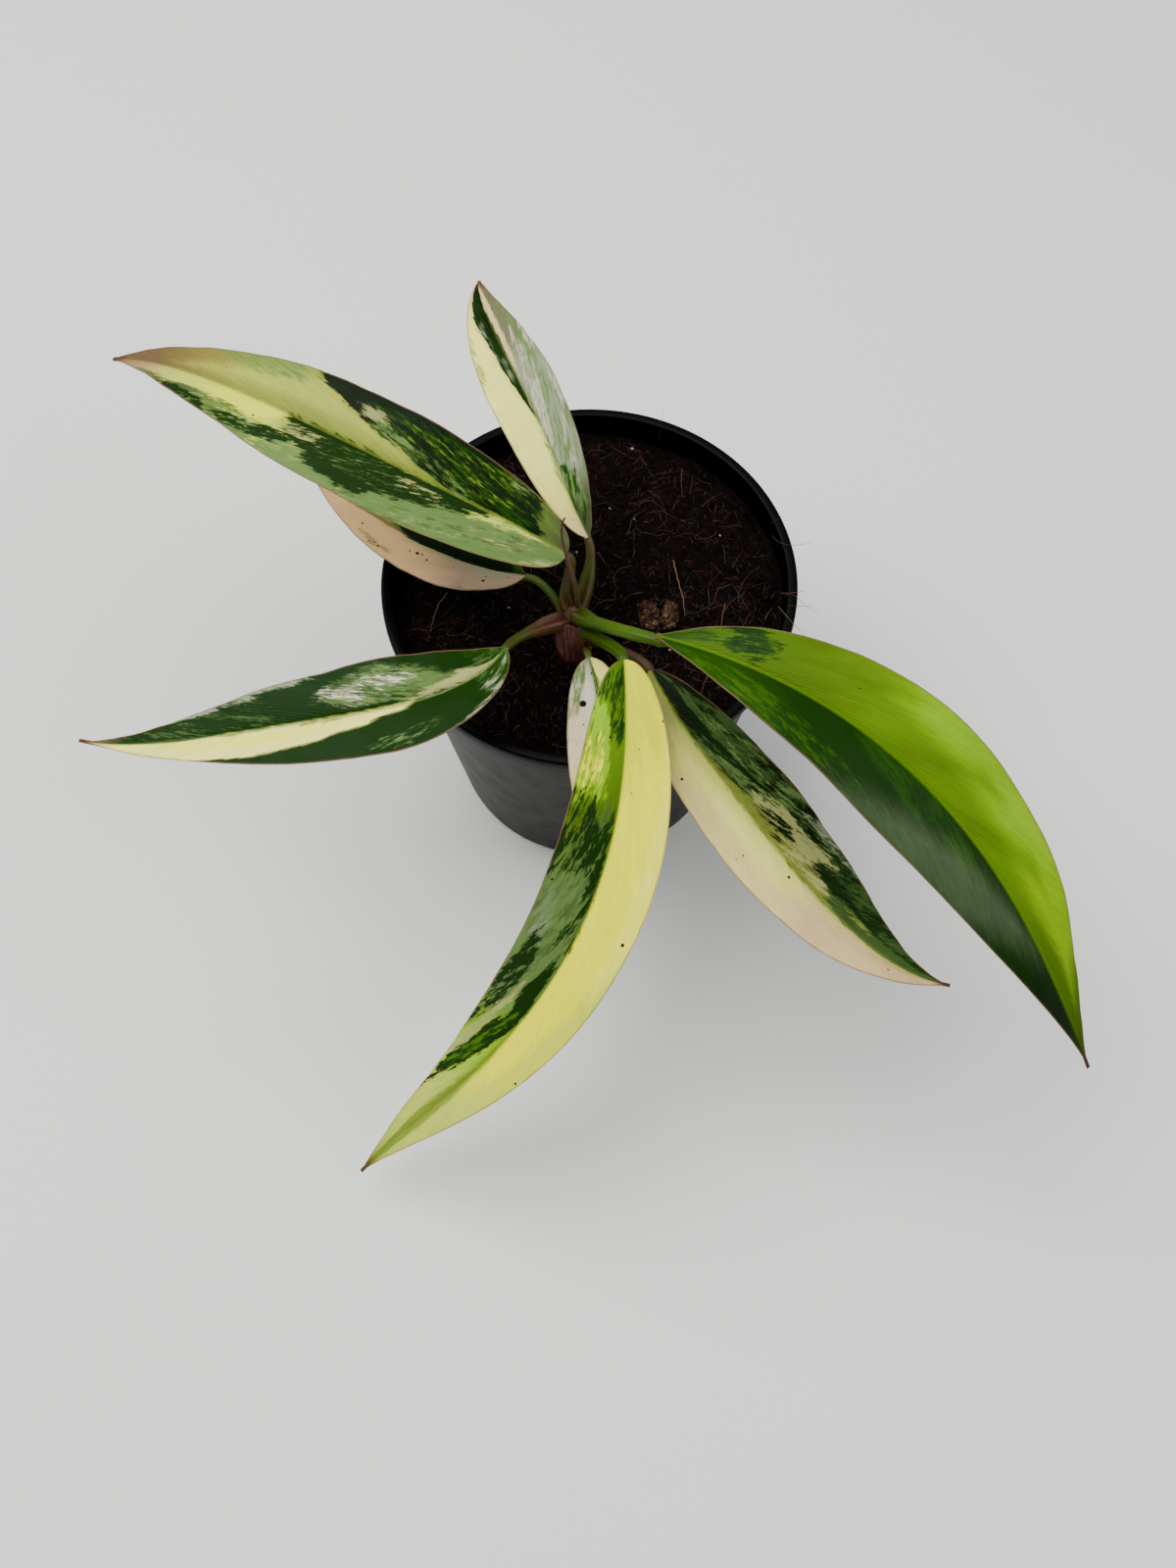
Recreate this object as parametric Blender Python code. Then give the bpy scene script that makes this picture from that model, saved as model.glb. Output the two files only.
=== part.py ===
"""A variegated philodendron with eight lance-shaped leaves, growing in a black plastic nursery pot.

The origin is the middle of the pot's flat underside, +Z is up, and -Y is the side of the two longest leaves.
A short stem stands in a plain hole in the soil. Each leaf is a petiole that leaves the stem and a blade that
the petiole carries, with a small gap between pieces that touch.
"""
import math

import bmesh
import bpy
import numpy as np

MM = 0.001
TOUCH = 0.3 * MM              # between pieces that touch

# Pot
POT_HEIGHT = 100 * MM
POT_SEGMENTS = 48
FOOT_RADIUS = 42 * MM
WALL_TOP_RADIUS = 55.2 * MM   # outer wall just under the ledge
LEDGE_HEIGHT = 88 * MM
LEDGE_RISE = 2 * MM            # the inner side of the ledge climbs by this much
RIM_RADIUS = 60 * MM
RIM_INNER_RADIUS = 57 * MM
RIM_DROP = 3.4 * MM           # height of the thick bead at the top
COLLAR_RADIUS = 57.9 * MM     # outer radius of the straight collar under the bead
WALL = 1.4 * MM
FLOOR = 1.6 * MM
DRAIN_COUNT = 8
DRAIN_RADIUS = 4 * MM
DRAIN_CIRCLE = 31 * MM

# Soil
SOIL_LEVEL = 92 * MM
SOIL_RINGS = 8

# Stem, upright, a little in front of the pot's axis
STEM_X = -4.2 * MM
STEM_Y = -20.6 * MM
STEM_FOOT = 64 * MM
STEM_TOP = 119 * MM
STEM_RADIUS = 3.6 * MM
STEM_NODE_HEIGHTS = (99 * MM, 109 * MM)
STEM_SEGMENTS = 20

# Dry bract round the stem's foot
BRACT_FROM = math.radians(165)
BRACT_TO = math.radians(285)
BRACT_FOOT = 94.6 * MM
BRACT_TOP = 107 * MM

# Spear of the next leaf, as points from the stem's top up to its curled tip
SPEAR_POINTS = ((-3.4, -20.4, 116), (-3.7, -19.2, 126), (-5.4, -17.6, 136), (-7.2, -15.8, 146), (-6.4, -15.6, 156))
SPEAR_RADIUS = 0.8 * MM

# Husk chips on the soil: place, size along its three axes, turn
CHIPS = (
    dict(name="husk_chip_left", x=17.3 * MM, y=-8.8 * MM, size=(5.8 * MM, 9.4 * MM, 4.2 * MM), turn=12, seed=3),
    dict(name="husk_chip_right", x=23.2 * MM, y=-8.4 * MM, size=(5.0 * MM, 8.0 * MM, 3.8 * MM), turn=-8, seed=8),
)

# Blades
BLADE_THICKNESS = 0.7 * MM
KEEL = 0.8 * MM               # how far the midrib stands out below the blade
BASE_HALF_WIDTH = 1.0 * MM
TIP_HALF_WIDTH = 0.5 * MM
BLADE_COLUMNS = (-1.0, -0.72, -0.4, -0.1, 0.0, 0.1, 0.4, 0.72, 1.0)

# Leaves. Lengths in mm, angles in degrees. heading, pitch and roll turn the midrib at even steps from the
# blade's base to its tip; fold is how steeply each half rises beside the midrib and margin how steeply at
# its edge, at base and tip; widest is the place of the greatest width as a share of the length; full,
# blunt and slim shape the outline before and after it; bias widens the right half, seen from the base.
LEAVES = {
    "upper_left": dict(
        base=(-6.1, -14.2, 136), length=148.5, width=31.8, widest=0.43, full=0.43, blunt=1.8, slim=1.0, bias=-0.03,
        heading=(161.5, 156, 149, 155.5), pitch=(28, 2, -28), roll=(11, 6, -8), fold=(18, 23), margin=(-7, 11),
        wave=0.5, stations=24, attach=114, rise=40, bend=150, settle=0.5, root=2.0, neck=1.5, sheath=0.5,
        colour=(0.24, 0.30, 0.10)),
    "back": dict(
        base=(-0.4, -3.5, 128), length=78.5, width=20, widest=0.56, full=0.61, blunt=1.95, slim=0.9, bias=-0.07,
        heading=(128.5, 116.5, 118, 94.5), pitch=(45, 24, 4), roll=(-2, 3, -2), fold=(21, 12), margin=(-3, -4),
        wave=0.3, stations=20, attach=112, rise=34, bend=65, settle=0.8, root=2.1, neck=1.3, sheath=0.6,
        colour=(0.50, 0.50, 0.33)),
    "small_left": dict(
        base=(-18.2, -5.4, 111), length=77, width=23.8, widest=0.33, full=0.7, blunt=1.75, slim=1.05, bias=0.03,
        heading=(177, 154, 139, 134.5), pitch=(12, -4, -18), roll=(0, 0, -1), fold=(20, 12), margin=(-4, -4),
        wave=0.3, stations=18, attach=110.5, rise=5, bend=140, settle=1, root=1.7, neck=1.2, sheath=0.3,
        colour=(0.60, 0.47, 0.33)),
    "left": dict(
        base=(-23, -33.4, 119), length=127.5, width=27.2, widest=0.32, full=0.75, blunt=1.85, slim=1.35, bias=0.02,
        heading=(246.5, 191, 182, 161), pitch=(16, -10, -12), roll=(2, 8, -2), fold=(22, 11), margin=(-1, -6),
        wave=0.5, stations=24, attach=112.5, rise=22, bend=205, settle=0.8, root=2.3, neck=1.4, sheath=0.55,
        colour=(0.25, 0.33, 0.17)),
    "front": dict(
        base=(9.2, -42.4, 128), length=190, width=29.6, widest=0.36, full=0.47, blunt=2.25, slim=1.05, bias=-0.03,
        heading=(-87, -115, -151.5, -142.5), pitch=(-4, -48, -36), roll=(-3, 7, 1), fold=(21, 15), margin=(-3, 0),
        wave=0.5, stations=26, attach=109.5, rise=22, bend=-50, settle=0.4, root=1.9, neck=1.7, sheath=0.25,
        colour=(0.50, 0.52, 0.17)),
    "front_right": dict(
        base=(16.9, -37.2, 113), length=123, width=30, widest=0.44, full=0.58, blunt=2.25, slim=1.3, bias=0.02,
        heading=(-68.5, -47.5, -42, -8.5), pitch=(-4, -26, -4), roll=(-2, 1, 1), fold=(20, 13), margin=(-4, -3),
        wave=0.5, stations=24, attach=105, rise=16, bend=-36, settle=0.5, root=1.8, neck=1.5, sheath=0.25,
        colour=(0.42, 0.40, 0.26)),
    "right": dict(
        base=(17.6, -38.4, 134), length=182, width=37.4, widest=0.44, full=0.89, blunt=1.95, slim=1.4, bias=-0.01,
        heading=(-24.5, -33, -48, -53.5), pitch=(16, -28, -50), roll=(11, -13, 2), fold=(25, 10), margin=(2, -6),
        wave=0.9, stations=26, attach=115.4, rise=40, bend=-57, settle=1, root=2.2, neck=1.8, sheath=0.3,
        colour=(0.28, 0.42, 0.05)),
    "small_front": dict(
        base=(0, -29.9, 107), length=57.5, width=17.6, widest=0.42, full=0.53, blunt=1.95, slim=1.15, bias=0.09,
        heading=(-77, -86, -99, -104.5), pitch=(4, -14, -32), roll=(2, 1, 0), fold=(20, 12), margin=(-4, -4),
        wave=0.3, stations=16, attach=99, rise=25, bend=-32, settle=1, root=1.4, neck=1.1, sheath=0.3,
        colour=(0.55, 0.55, 0.38)),
}
WAVES_ALONG = 3.5             # margin waves from base to tip
PETIOLE_SIDES = 10
PETIOLE_STATIONS = 9

COLOURS = {
    "pot": ((0.012, 0.012, 0.014), 0.38),
    "soil": ((0.035, 0.02, 0.012), 0.95),
    "stem": ((0.16, 0.09, 0.05), 0.6),
    "bract": ((0.38, 0.25, 0.19), 0.5),
    "spear": ((0.16, 0.05, 0.03), 0.5),
    "husk": ((0.16, 0.08, 0.045), 0.9),
    "petiole": ((0.13, 0.16, 0.04), 0.42),
    "petiole_brown": ((0.22, 0.12, 0.07), 0.45),
}
BROWN_PETIOLES = ("left", "front_right", "small_front")


def clear_scene():
    for old in list(bpy.data.objects):
        bpy.data.objects.remove(old, do_unlink=True)


def material(name, colour, roughness):
    made = bpy.data.materials.new(name)
    made.use_nodes = True
    shader = made.node_tree.nodes["Principled BSDF"]
    shader.inputs["Base Color"].default_value = (*colour, 1)
    shader.inputs["Roughness"].default_value = roughness
    shader.inputs["Metallic"].default_value = 0
    return made


def add_object(name, points, faces, look=None):
    """A closed mesh object with its faces pointing out."""
    mesh = bpy.data.meshes.new(name)
    mesh.from_pydata([tuple(p) for p in points], [], faces)
    shape = bmesh.new()
    shape.from_mesh(mesh)
    bmesh.ops.recalc_face_normals(shape, faces=shape.faces)
    shape.to_mesh(mesh)
    shape.free()
    mesh.shade_smooth()
    mesh.set_sharp_from_angle(angle=math.radians(40))
    made = bpy.data.objects.new(name, mesh)
    bpy.context.collection.objects.link(made)
    if look:
        mesh.materials.append(look)
    return made


def turned(outline, segments, centre=(0, 0), lift=None):
    """Points and faces of a shape turned round the vertical through centre.

    The outline runs from the axis to the axis. lift, where given, is added to a point's height.
    """
    points = []
    rings = []
    for radius, height in outline:
        count = segments if radius > 0 else 1
        ring = []
        for k in range(count):
            angle = 2 * math.pi * k / segments
            x = centre[0] + radius * math.cos(angle)
            y = centre[1] + radius * math.sin(angle)
            ring.append(len(points))
            points.append((x, y, height + (lift(x, y, radius, height) if lift else 0)))
        rings.append(ring)
    faces = []
    for low, high in zip(rings, rings[1:]):
        for k in range(segments):
            corners = (low[k % len(low)], low[(k + 1) % len(low)], high[(k + 1) % len(high)], high[k % len(high)])
            faces.append(tuple(dict.fromkeys(corners)))
    return points, faces


def cut(target, cutter):
    """Cuts the cutter's shape out of the target, and leaves the cutter out of renders."""
    boolean = target.modifiers.new("cut_" + cutter.name, "BOOLEAN")
    boolean.operation = "DIFFERENCE"
    boolean.object = cutter
    cutter.hide_render = True
    cutter.display_type = "WIRE"


def inner_wall_radius(height):
    """Inner radius of the pot's tapering wall below the ledge."""
    share = height / LEDGE_HEIGHT
    return FOOT_RADIUS + (WALL_TOP_RADIUS - FOOT_RADIUS) * share - WALL


def pot_outline():
    bead_foot = POT_HEIGHT - RIM_DROP
    outside = [
        (0, 0),
        (FOOT_RADIUS - 1.6 * MM, 0),
        (FOOT_RADIUS - 0.4 * MM, 0.5 * MM),
        (FOOT_RADIUS, 1.8 * MM),
        (WALL_TOP_RADIUS, LEDGE_HEIGHT),
        (COLLAR_RADIUS - 0.4 * MM, LEDGE_HEIGHT + 1.6 * MM),
        (COLLAR_RADIUS, bead_foot - 0.5 * MM),
        (RIM_RADIUS - 0.5 * MM, bead_foot),
        (RIM_RADIUS, bead_foot + 0.8 * MM),
        (RIM_RADIUS, POT_HEIGHT - 1.1 * MM),
        (RIM_RADIUS - 0.5 * MM, POT_HEIGHT - 0.3 * MM),
        (RIM_RADIUS - 1.2 * MM, POT_HEIGHT),
    ]
    inside = [
        (RIM_INNER_RADIUS + 0.5 * MM, POT_HEIGHT),
        (RIM_INNER_RADIUS, POT_HEIGHT - 0.5 * MM),
        (COLLAR_RADIUS - WALL, LEDGE_HEIGHT + LEDGE_RISE),
        (inner_wall_radius(LEDGE_HEIGHT), LEDGE_HEIGHT),
        (inner_wall_radius(FLOOR), FLOOR),
        (0, FLOOR),
    ]
    return outside + inside


def make_pot():
    points, faces = turned(pot_outline(), POT_SEGMENTS)
    pot = add_object("pot", points, faces, material("pot_plastic", *COLOURS["pot"]))
    shape = bmesh.new()
    for k in range(DRAIN_COUNT):
        angle = 2 * math.pi * (k + 0.5) / DRAIN_COUNT
        hole = bmesh.ops.create_cone(
            shape, cap_ends=True, segments=12, radius1=DRAIN_RADIUS, radius2=DRAIN_RADIUS, depth=4 * FLOOR)
        where = (DRAIN_CIRCLE * math.cos(angle), DRAIN_CIRCLE * math.sin(angle), FLOOR / 2)
        bmesh.ops.translate(shape, verts=hole["verts"], vec=where)
    mesh = bpy.data.meshes.new("drain_holes")
    shape.to_mesh(mesh)
    shape.free()
    holes = bpy.data.objects.new("drain_holes", mesh)
    bpy.context.collection.objects.link(holes)
    cut(pot, holes)


def soil_height(x, y):
    """The uneven surface of the soil. It flattens out under the husk chips and round the stem."""
    a, b = x / MM, y / MM
    relief = 0.9 * math.sin(a / 7.3 + 1.1) * math.cos(b / 8.9 - 0.4)
    relief += 0.7 * math.sin(a / 3.7 - b / 5.1 + 2.0) + 0.5 * math.cos(a / 4.9 + b / 2.9)
    for chip in CHIPS:
        away = math.hypot(x - chip["x"], y - chip["y"])
        relief *= 1 - math.exp(-(away / (9 * MM)) ** 2)
    from_stem = math.hypot(x - STEM_X, y - STEM_Y)
    relief *= 1 - math.exp(-(from_stem / (7 * MM)) ** 2)
    return SOIL_LEVEL + relief * MM


def make_soil(stem_radius):
    room = TOUCH + 0.1 * MM
    edge = COLLAR_RADIUS - WALL - room
    outline = [(0, SOIL_LEVEL)]
    outline += [(edge * k / SOIL_RINGS, SOIL_LEVEL) for k in range(1, SOIL_RINGS)]
    outline += [
        (edge - 0.2 * MM, SOIL_LEVEL - 0.4 * MM),
        (edge, LEDGE_HEIGHT + LEDGE_RISE + 0.2 * MM),
        (inner_wall_radius(LEDGE_HEIGHT) - room, LEDGE_HEIGHT + 0.2 * MM),
        (inner_wall_radius(FLOOR) - room, FLOOR + TOUCH),
        (0, FLOOR + TOUCH),
    ]

    def lift(x, y, radius, height):
        return soil_height(x, y) - SOIL_LEVEL if height >= SOIL_LEVEL else 0

    points, faces = turned(outline, POT_SEGMENTS, lift=lift)
    soil = add_object("soil", points, faces, material("potting_mix", *COLOURS["soil"]))
    hole = [(0, STEM_FOOT - TOUCH), (stem_radius + TOUCH, STEM_FOOT - TOUCH)]
    hole += [(stem_radius + TOUCH, SOIL_LEVEL + 8 * MM), (0, SOIL_LEVEL + 8 * MM)]
    points, faces = turned(hole, STEM_SEGMENTS, centre=(STEM_X, STEM_Y))
    cut(soil, add_object("stem_hole", points, faces))


def stem_outline(extra=0):
    """The stem's profile, fattened by extra all over."""
    outline = [(0, STEM_FOOT - extra), (STEM_RADIUS * 0.6 + extra, STEM_FOOT - extra)]
    outline += [(STEM_RADIUS + extra, STEM_FOOT + 3 * MM)]
    slim = STEM_RADIUS
    for node in STEM_NODE_HEIGHTS:
        outline += [(slim + extra, node - 1.2 * MM), (slim + 0.25 * MM + extra, node)]
        slim -= 0.2 * MM
        outline += [(slim + extra, node + 1 * MM)]
    outline += [(slim - 0.2 * MM + extra, STEM_TOP - 0.6 * MM), (slim - 0.8 * MM + extra, STEM_TOP + extra)]
    outline += [(0, STEM_TOP + extra)]
    return outline


def make_stem():
    points, faces = turned(stem_outline(), STEM_SEGMENTS, centre=(STEM_X, STEM_Y))
    add_object("stem", points, faces, material("stem_skin", *COLOURS["stem"]))
    points, faces = turned(stem_outline(TOUCH), STEM_SEGMENTS, centre=(STEM_X, STEM_Y))
    cutter = add_object("stem_cutter", points, faces)
    cutter.hide_render = True
    cutter.display_type = "WIRE"
    return cutter


def make_bract(stem_radius):
    """A dry papery sheath that clasps one side of the stem and flares at its foot."""
    across = 9
    up = 6
    inner = stem_radius + TOUCH
    points = []
    for layer in (0, BLADE_THICKNESS):
        for i in range(up):
            height = i / (up - 1)
            radius = inner + layer + 0.7 * MM * (1 - height) ** 3
            for j in range(across):
                side = j / (across - 1)
                angle = BRACT_FROM + (BRACT_TO - BRACT_FROM) * side
                ragged = 0.7 * MM * math.sin(9 * side + 0.6)
                z = BRACT_FOOT + (BRACT_TOP - BRACT_FOOT) * height + ragged * (1 if i in (0, up - 1) else 0.3)
                points.append((STEM_X + radius * math.cos(angle), STEM_Y + radius * math.sin(angle), z))
    add_object("dry_bract", points, sheet_faces(up, across), material("bract_skin", *COLOURS["bract"]))


def sheet_faces(rows, columns):
    """Triangles of a closed sheet: an upper grid of points, a lower grid split alike, and the edge."""
    faces = []
    lower = rows * columns
    middle = (columns - 1) / 2
    for i in range(rows - 1):
        for j in range(columns - 1):
            a, b = i * columns + j, i * columns + j + 1
            c, d = b + columns, a + columns
            halves = ((a, b, c), (a, c, d)) if j < middle else ((a, b, d), (b, c, d))
            for half in halves:
                faces.append(half)
                faces.append(tuple(p + lower for p in reversed(half)))
    edge = [j for j in range(columns)]
    edge += [i * columns + columns - 1 for i in range(1, rows)]
    edge += [(rows - 1) * columns + j for j in range(columns - 2, -1, -1)]
    edge += [i * columns for i in range(rows - 2, 0, -1)]
    for a, b in zip(edge, edge[1:] + edge[:1]):
        faces.append((b, a, a + lower))
        faces.append((b, a + lower, b + lower))
    return faces


def through(values, u):
    """The smooth curve through values that stand at even steps of u from 0 to 1."""
    at = np.linspace(0, 1, len(values))
    total = np.zeros_like(u)
    for i, value in enumerate(values):
        term = np.full_like(u, float(value))
        for j, other in enumerate(at):
            if j != i:
                term = term * (u - other) / (at[i] - other)
        total += term
    return total


def frames(leaf, u):
    """Unit vectors along the midrib, to its right and up, at each u."""
    heading, pitch, roll = (np.radians(through(leaf[key], u)) for key in ("heading", "pitch", "roll"))
    along = np.stack([np.cos(pitch) * np.cos(heading), np.cos(pitch) * np.sin(heading), np.sin(pitch)], 1)
    level = np.stack([np.sin(heading), -np.cos(heading), np.zeros_like(u)], 1)
    upright = np.cross(level, along)
    turn_cos, turn_sin = np.cos(roll)[:, None], np.sin(roll)[:, None]
    return along, turn_cos * level + turn_sin * upright, turn_cos * upright - turn_sin * level


def midrib(leaf, u):
    """Points of the midrib: its direction added up from the blade's base."""
    fine = np.linspace(0, 1, 81)
    along = frames(leaf, fine)[0]
    steps = (along[1:] + along[:-1]) / 2 * leaf["length"] / (len(fine) - 1)
    path = np.array(leaf["base"]) + np.vstack([np.zeros(3), np.cumsum(steps, 0)])
    return np.stack([np.interp(u, fine, path[:, k]) for k in range(3)], 1)


def half_width(leaf, u):
    """Half of the blade's width, in mm: rounded at the base and drawn out at the tip."""
    before = np.clip(u / leaf["widest"], 0, 1)
    after = np.clip((u - leaf["widest"]) / (1 - leaf["widest"]), 0, 1)
    low = (1 - (1 - before) ** 2) ** leaf["full"]
    high = (1 - after ** leaf["blunt"]) ** leaf["slim"]
    width = leaf["width"] / 2 * np.where(u < leaf["widest"], low, high)
    least = np.interp(u, [0, 1], [BASE_HALF_WIDTH / MM, TIP_HALF_WIDTH / MM])
    return np.maximum(width, least)


def blade_rows(leaf, u, v):
    """Upper surface and its normals at one v, across the blade from -1 on the left to 1 on the right."""
    _, side, up = frames(leaf, u)
    width = half_width(leaf, u) * (1 + np.sign(v) * leaf["bias"])
    start = np.radians(np.interp(u, [0, 1], leaf["fold"]))
    turn = np.radians(np.interp(u, [0, 1], leaf["margin"])) - start
    turn = np.where(np.abs(turn) < 0.001, 0.001, turn)
    slope = start + turn * abs(v)
    out = np.sign(v) * width * (np.sin(slope) - np.sin(start)) / turn
    rise = -width * (np.cos(slope) - np.cos(start)) / turn
    waves = math.tau * WAVES_ALONG * u + 1.2 * np.sign(v)
    rise = rise + leaf["wave"] * np.sin(waves) * np.sin(math.pi * u) * v * v
    surface = midrib(leaf, u) + side * out[:, None] + up * rise[:, None]
    normal = up * np.cos(slope)[:, None] - side * (np.sign(v) * np.sin(slope))[:, None]
    return surface, normal


def make_blade(name, leaf):
    rows = leaf["stations"]
    u = (1 - np.cos(np.linspace(0, math.pi, rows))) / 2
    columns = [blade_rows(leaf, u, v) for v in BLADE_COLUMNS]
    top = np.stack([surface for surface, _ in columns], 1) * MM
    normal = np.stack([n for _, n in columns], 1)
    keel = KEEL * (1 - 0.8 * u)[:, None] * np.array([1.0 if v == 0 else 0.0 for v in BLADE_COLUMNS])[None, :]
    bottom = top - normal * (BLADE_THICKNESS + keel)[:, :, None]
    points = np.concatenate([top.reshape(-1, 3), bottom.reshape(-1, 3)])
    look = material("blade_skin_" + name, leaf["colour"], 0.4)
    add_object("blade_" + name, points, sheet_faces(rows, len(BLADE_COLUMNS)), look)


def tube(points, radii, sides):
    """Points and faces of a closed round tube along a path, with flat ends."""
    path = np.array(points)
    tangents = np.gradient(path, axis=0)
    tangents /= np.linalg.norm(tangents, axis=1)[:, None]
    across = np.cross(tangents[0], (0.3, 0.2, 1.0))
    corners = []
    for centre, tangent, radius in zip(path, tangents, radii):
        across = across - tangent * np.dot(across, tangent)
        across /= np.linalg.norm(across)
        second = np.cross(tangent, across)
        for k in range(sides):
            angle = 2 * math.pi * k / sides
            corners.append(centre + radius * (math.cos(angle) * across + math.sin(angle) * second))
    faces = [tuple(range(sides)), tuple(range(len(corners) - 1, len(corners) - 1 - sides, -1))]
    for i in range(len(path) - 1):
        for k in range(sides):
            a, b = i * sides + k, i * sides + (k + 1) % sides
            faces.append((a, b, b + sides, a + sides))
    return corners, faces


def petiole_path(leaf):
    """A smooth path from the middle of the stem to the blade's base, ending along the midrib."""
    along, _, up = (vectors[0] for vectors in frames(leaf, np.array([0.0])))
    start = np.array([STEM_X / MM, STEM_Y / MM, leaf["attach"]])
    end = np.array(leaf["base"]) - along * 1.7 * TOUCH / MM - up * leaf["neck"] * 0.8
    reach = np.linalg.norm(end - start)
    bend, rise = math.radians(leaf["bend"]), math.radians(leaf["rise"])
    leave = np.array([math.cos(rise) * math.cos(bend), math.cos(rise) * math.sin(bend), math.sin(rise)])
    path = []
    for t in np.linspace(0, 1, PETIOLE_STATIONS):
        from_start = 1 - 3 * t ** 2 + 2 * t ** 3
        curve = start * from_start + end * (1 - from_start)
        curve = curve + leave * reach * (t - 2 * t ** 2 + t ** 3) + along * leaf["settle"] * reach * (t ** 3 - t ** 2)
        path.append(curve * MM)
    return path


def petiole_radii(leaf):
    """Stout where the petiole sheathes the stem, slim from the end of the sheath on."""
    t = np.linspace(0, 1, PETIOLE_STATIONS)
    x = np.clip((t - leaf["sheath"] * 0.5) / (leaf["sheath"] * 0.8), 0, 1)
    fall = x * x * (3 - 2 * x)
    return (leaf["root"] + (leaf["neck"] - leaf["root"]) * fall) * MM


def make_petiole(name, leaf, stem_cutter):
    points, faces = tube(petiole_path(leaf), petiole_radii(leaf), PETIOLE_SIDES)
    kind = "petiole_brown" if name in BROWN_PETIOLES else "petiole"
    petiole = add_object("petiole_" + name, points, faces, material("petiole_skin_" + name, *COLOURS[kind]))
    cut(petiole, stem_cutter)


def make_spear(stem_cutter):
    knots = np.array(SPEAR_POINTS) * MM
    t = np.linspace(0, 1, len(knots))
    fine = np.linspace(0, 1, 11)
    path = np.stack([through(knots[:, k], fine) for k in range(3)], 1)
    radii = SPEAR_RADIUS * (1 - 0.7 * fine ** 1.5)
    points, faces = tube(path, radii, 8)
    spear = add_object("leaf_spear", points, faces, material("spear_skin", *COLOURS["spear"]))
    cut(spear, stem_cutter)


def make_chip(chip):
    """A rough lump of husk with a flat foot, just clear of the soil under it."""
    shape = bmesh.new()
    bmesh.ops.create_icosphere(shape, subdivisions=2, radius=0.5)
    rng = np.random.default_rng(chip["seed"])
    turn = math.radians(chip["turn"])
    floor = soil_height(chip["x"], chip["y"]) + TOUCH
    for vert in shape.verts:
        rough = 1 + rng.uniform(-0.12, 0.12)
        x, y = vert.co.x * chip["size"][0] * rough, vert.co.y * chip["size"][1] * rough
        z = max(vert.co.z, -0.3) * chip["size"][2]
        place = (x * math.cos(turn) - y * math.sin(turn), x * math.sin(turn) + y * math.cos(turn))
        vert.co = (chip["x"] + place[0], chip["y"] + place[1], floor + 0.3 * chip["size"][2] + z)
    points = [tuple(v.co) for v in shape.verts]
    faces = [tuple(v.index for v in f.verts) for f in shape.faces]
    shape.free()
    add_object(chip["name"], points, faces, material(chip["name"] + "_skin", *COLOURS["husk"]))


def main():
    clear_scene()
    widest_stem = max(radius for radius, _ in stem_outline())
    make_pot()
    make_soil(widest_stem)
    cutter = make_stem()
    make_bract(widest_stem)
    make_spear(cutter)
    for chip in CHIPS:
        make_chip(chip)
    for name, leaf in LEAVES.items():
        make_petiole(name, leaf, cutter)
        make_blade(name, leaf)


main()
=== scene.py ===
"""The looks of a small variegated philodendron in a black nursery pot, around its fixed solids."""
import math

import bmesh
import bpy
import numpy as np
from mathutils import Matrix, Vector, noise


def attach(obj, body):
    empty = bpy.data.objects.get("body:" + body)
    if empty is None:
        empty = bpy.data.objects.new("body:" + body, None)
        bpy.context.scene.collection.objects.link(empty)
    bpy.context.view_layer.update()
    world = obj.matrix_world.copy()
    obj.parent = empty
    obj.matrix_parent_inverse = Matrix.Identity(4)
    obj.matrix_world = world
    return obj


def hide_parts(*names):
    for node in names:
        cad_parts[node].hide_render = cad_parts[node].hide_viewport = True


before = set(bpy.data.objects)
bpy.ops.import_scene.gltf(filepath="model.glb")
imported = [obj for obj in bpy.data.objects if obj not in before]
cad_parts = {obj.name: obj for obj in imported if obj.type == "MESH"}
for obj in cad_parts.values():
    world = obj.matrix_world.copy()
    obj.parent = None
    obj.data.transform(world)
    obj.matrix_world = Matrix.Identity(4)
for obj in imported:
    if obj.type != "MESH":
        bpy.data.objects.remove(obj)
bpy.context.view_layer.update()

MM = 0.001

# Pot and soil, in metres, as the solids have them
POT_HEIGHT = 100 * MM
FOOT_RADIUS = 42 * MM
WALL_TOP_RADIUS = 55.2 * MM
LEDGE_HEIGHT = 88 * MM
LEDGE_RISE = 2 * MM
RIM_RADIUS = 60 * MM
RIM_INNER_RADIUS = 57 * MM
RIM_DROP = 3.4 * MM
COLLAR_RADIUS = 57.9 * MM
WALL = 1.4 * MM
FLOOR = 1.6 * MM
DRAIN_COUNT = 8
DRAIN_RADIUS = 4 * MM
DRAIN_CIRCLE = 31 * MM
SOIL_LEVEL = 92 * MM
SOIL_RADIUS = 56.2 * MM

# Finish of the pot and the soil: counts, and lengths in metres
POT_SEGMENTS = 180
FOOT_ROUND = 1.8 * MM
BEAD_ROUND = 0.6 * MM        # below the bead, and along the rim's inner edge
RIM_ROUND = 1.1 * MM
MOULD_RING_GAP = 1.1 * MM
SOIL_RINGS = 120
SOIL_SEGMENTS = 300
CLEAR_OF_STEM = 5 * MM       # no crumb lies nearer to the stem's middle

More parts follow.
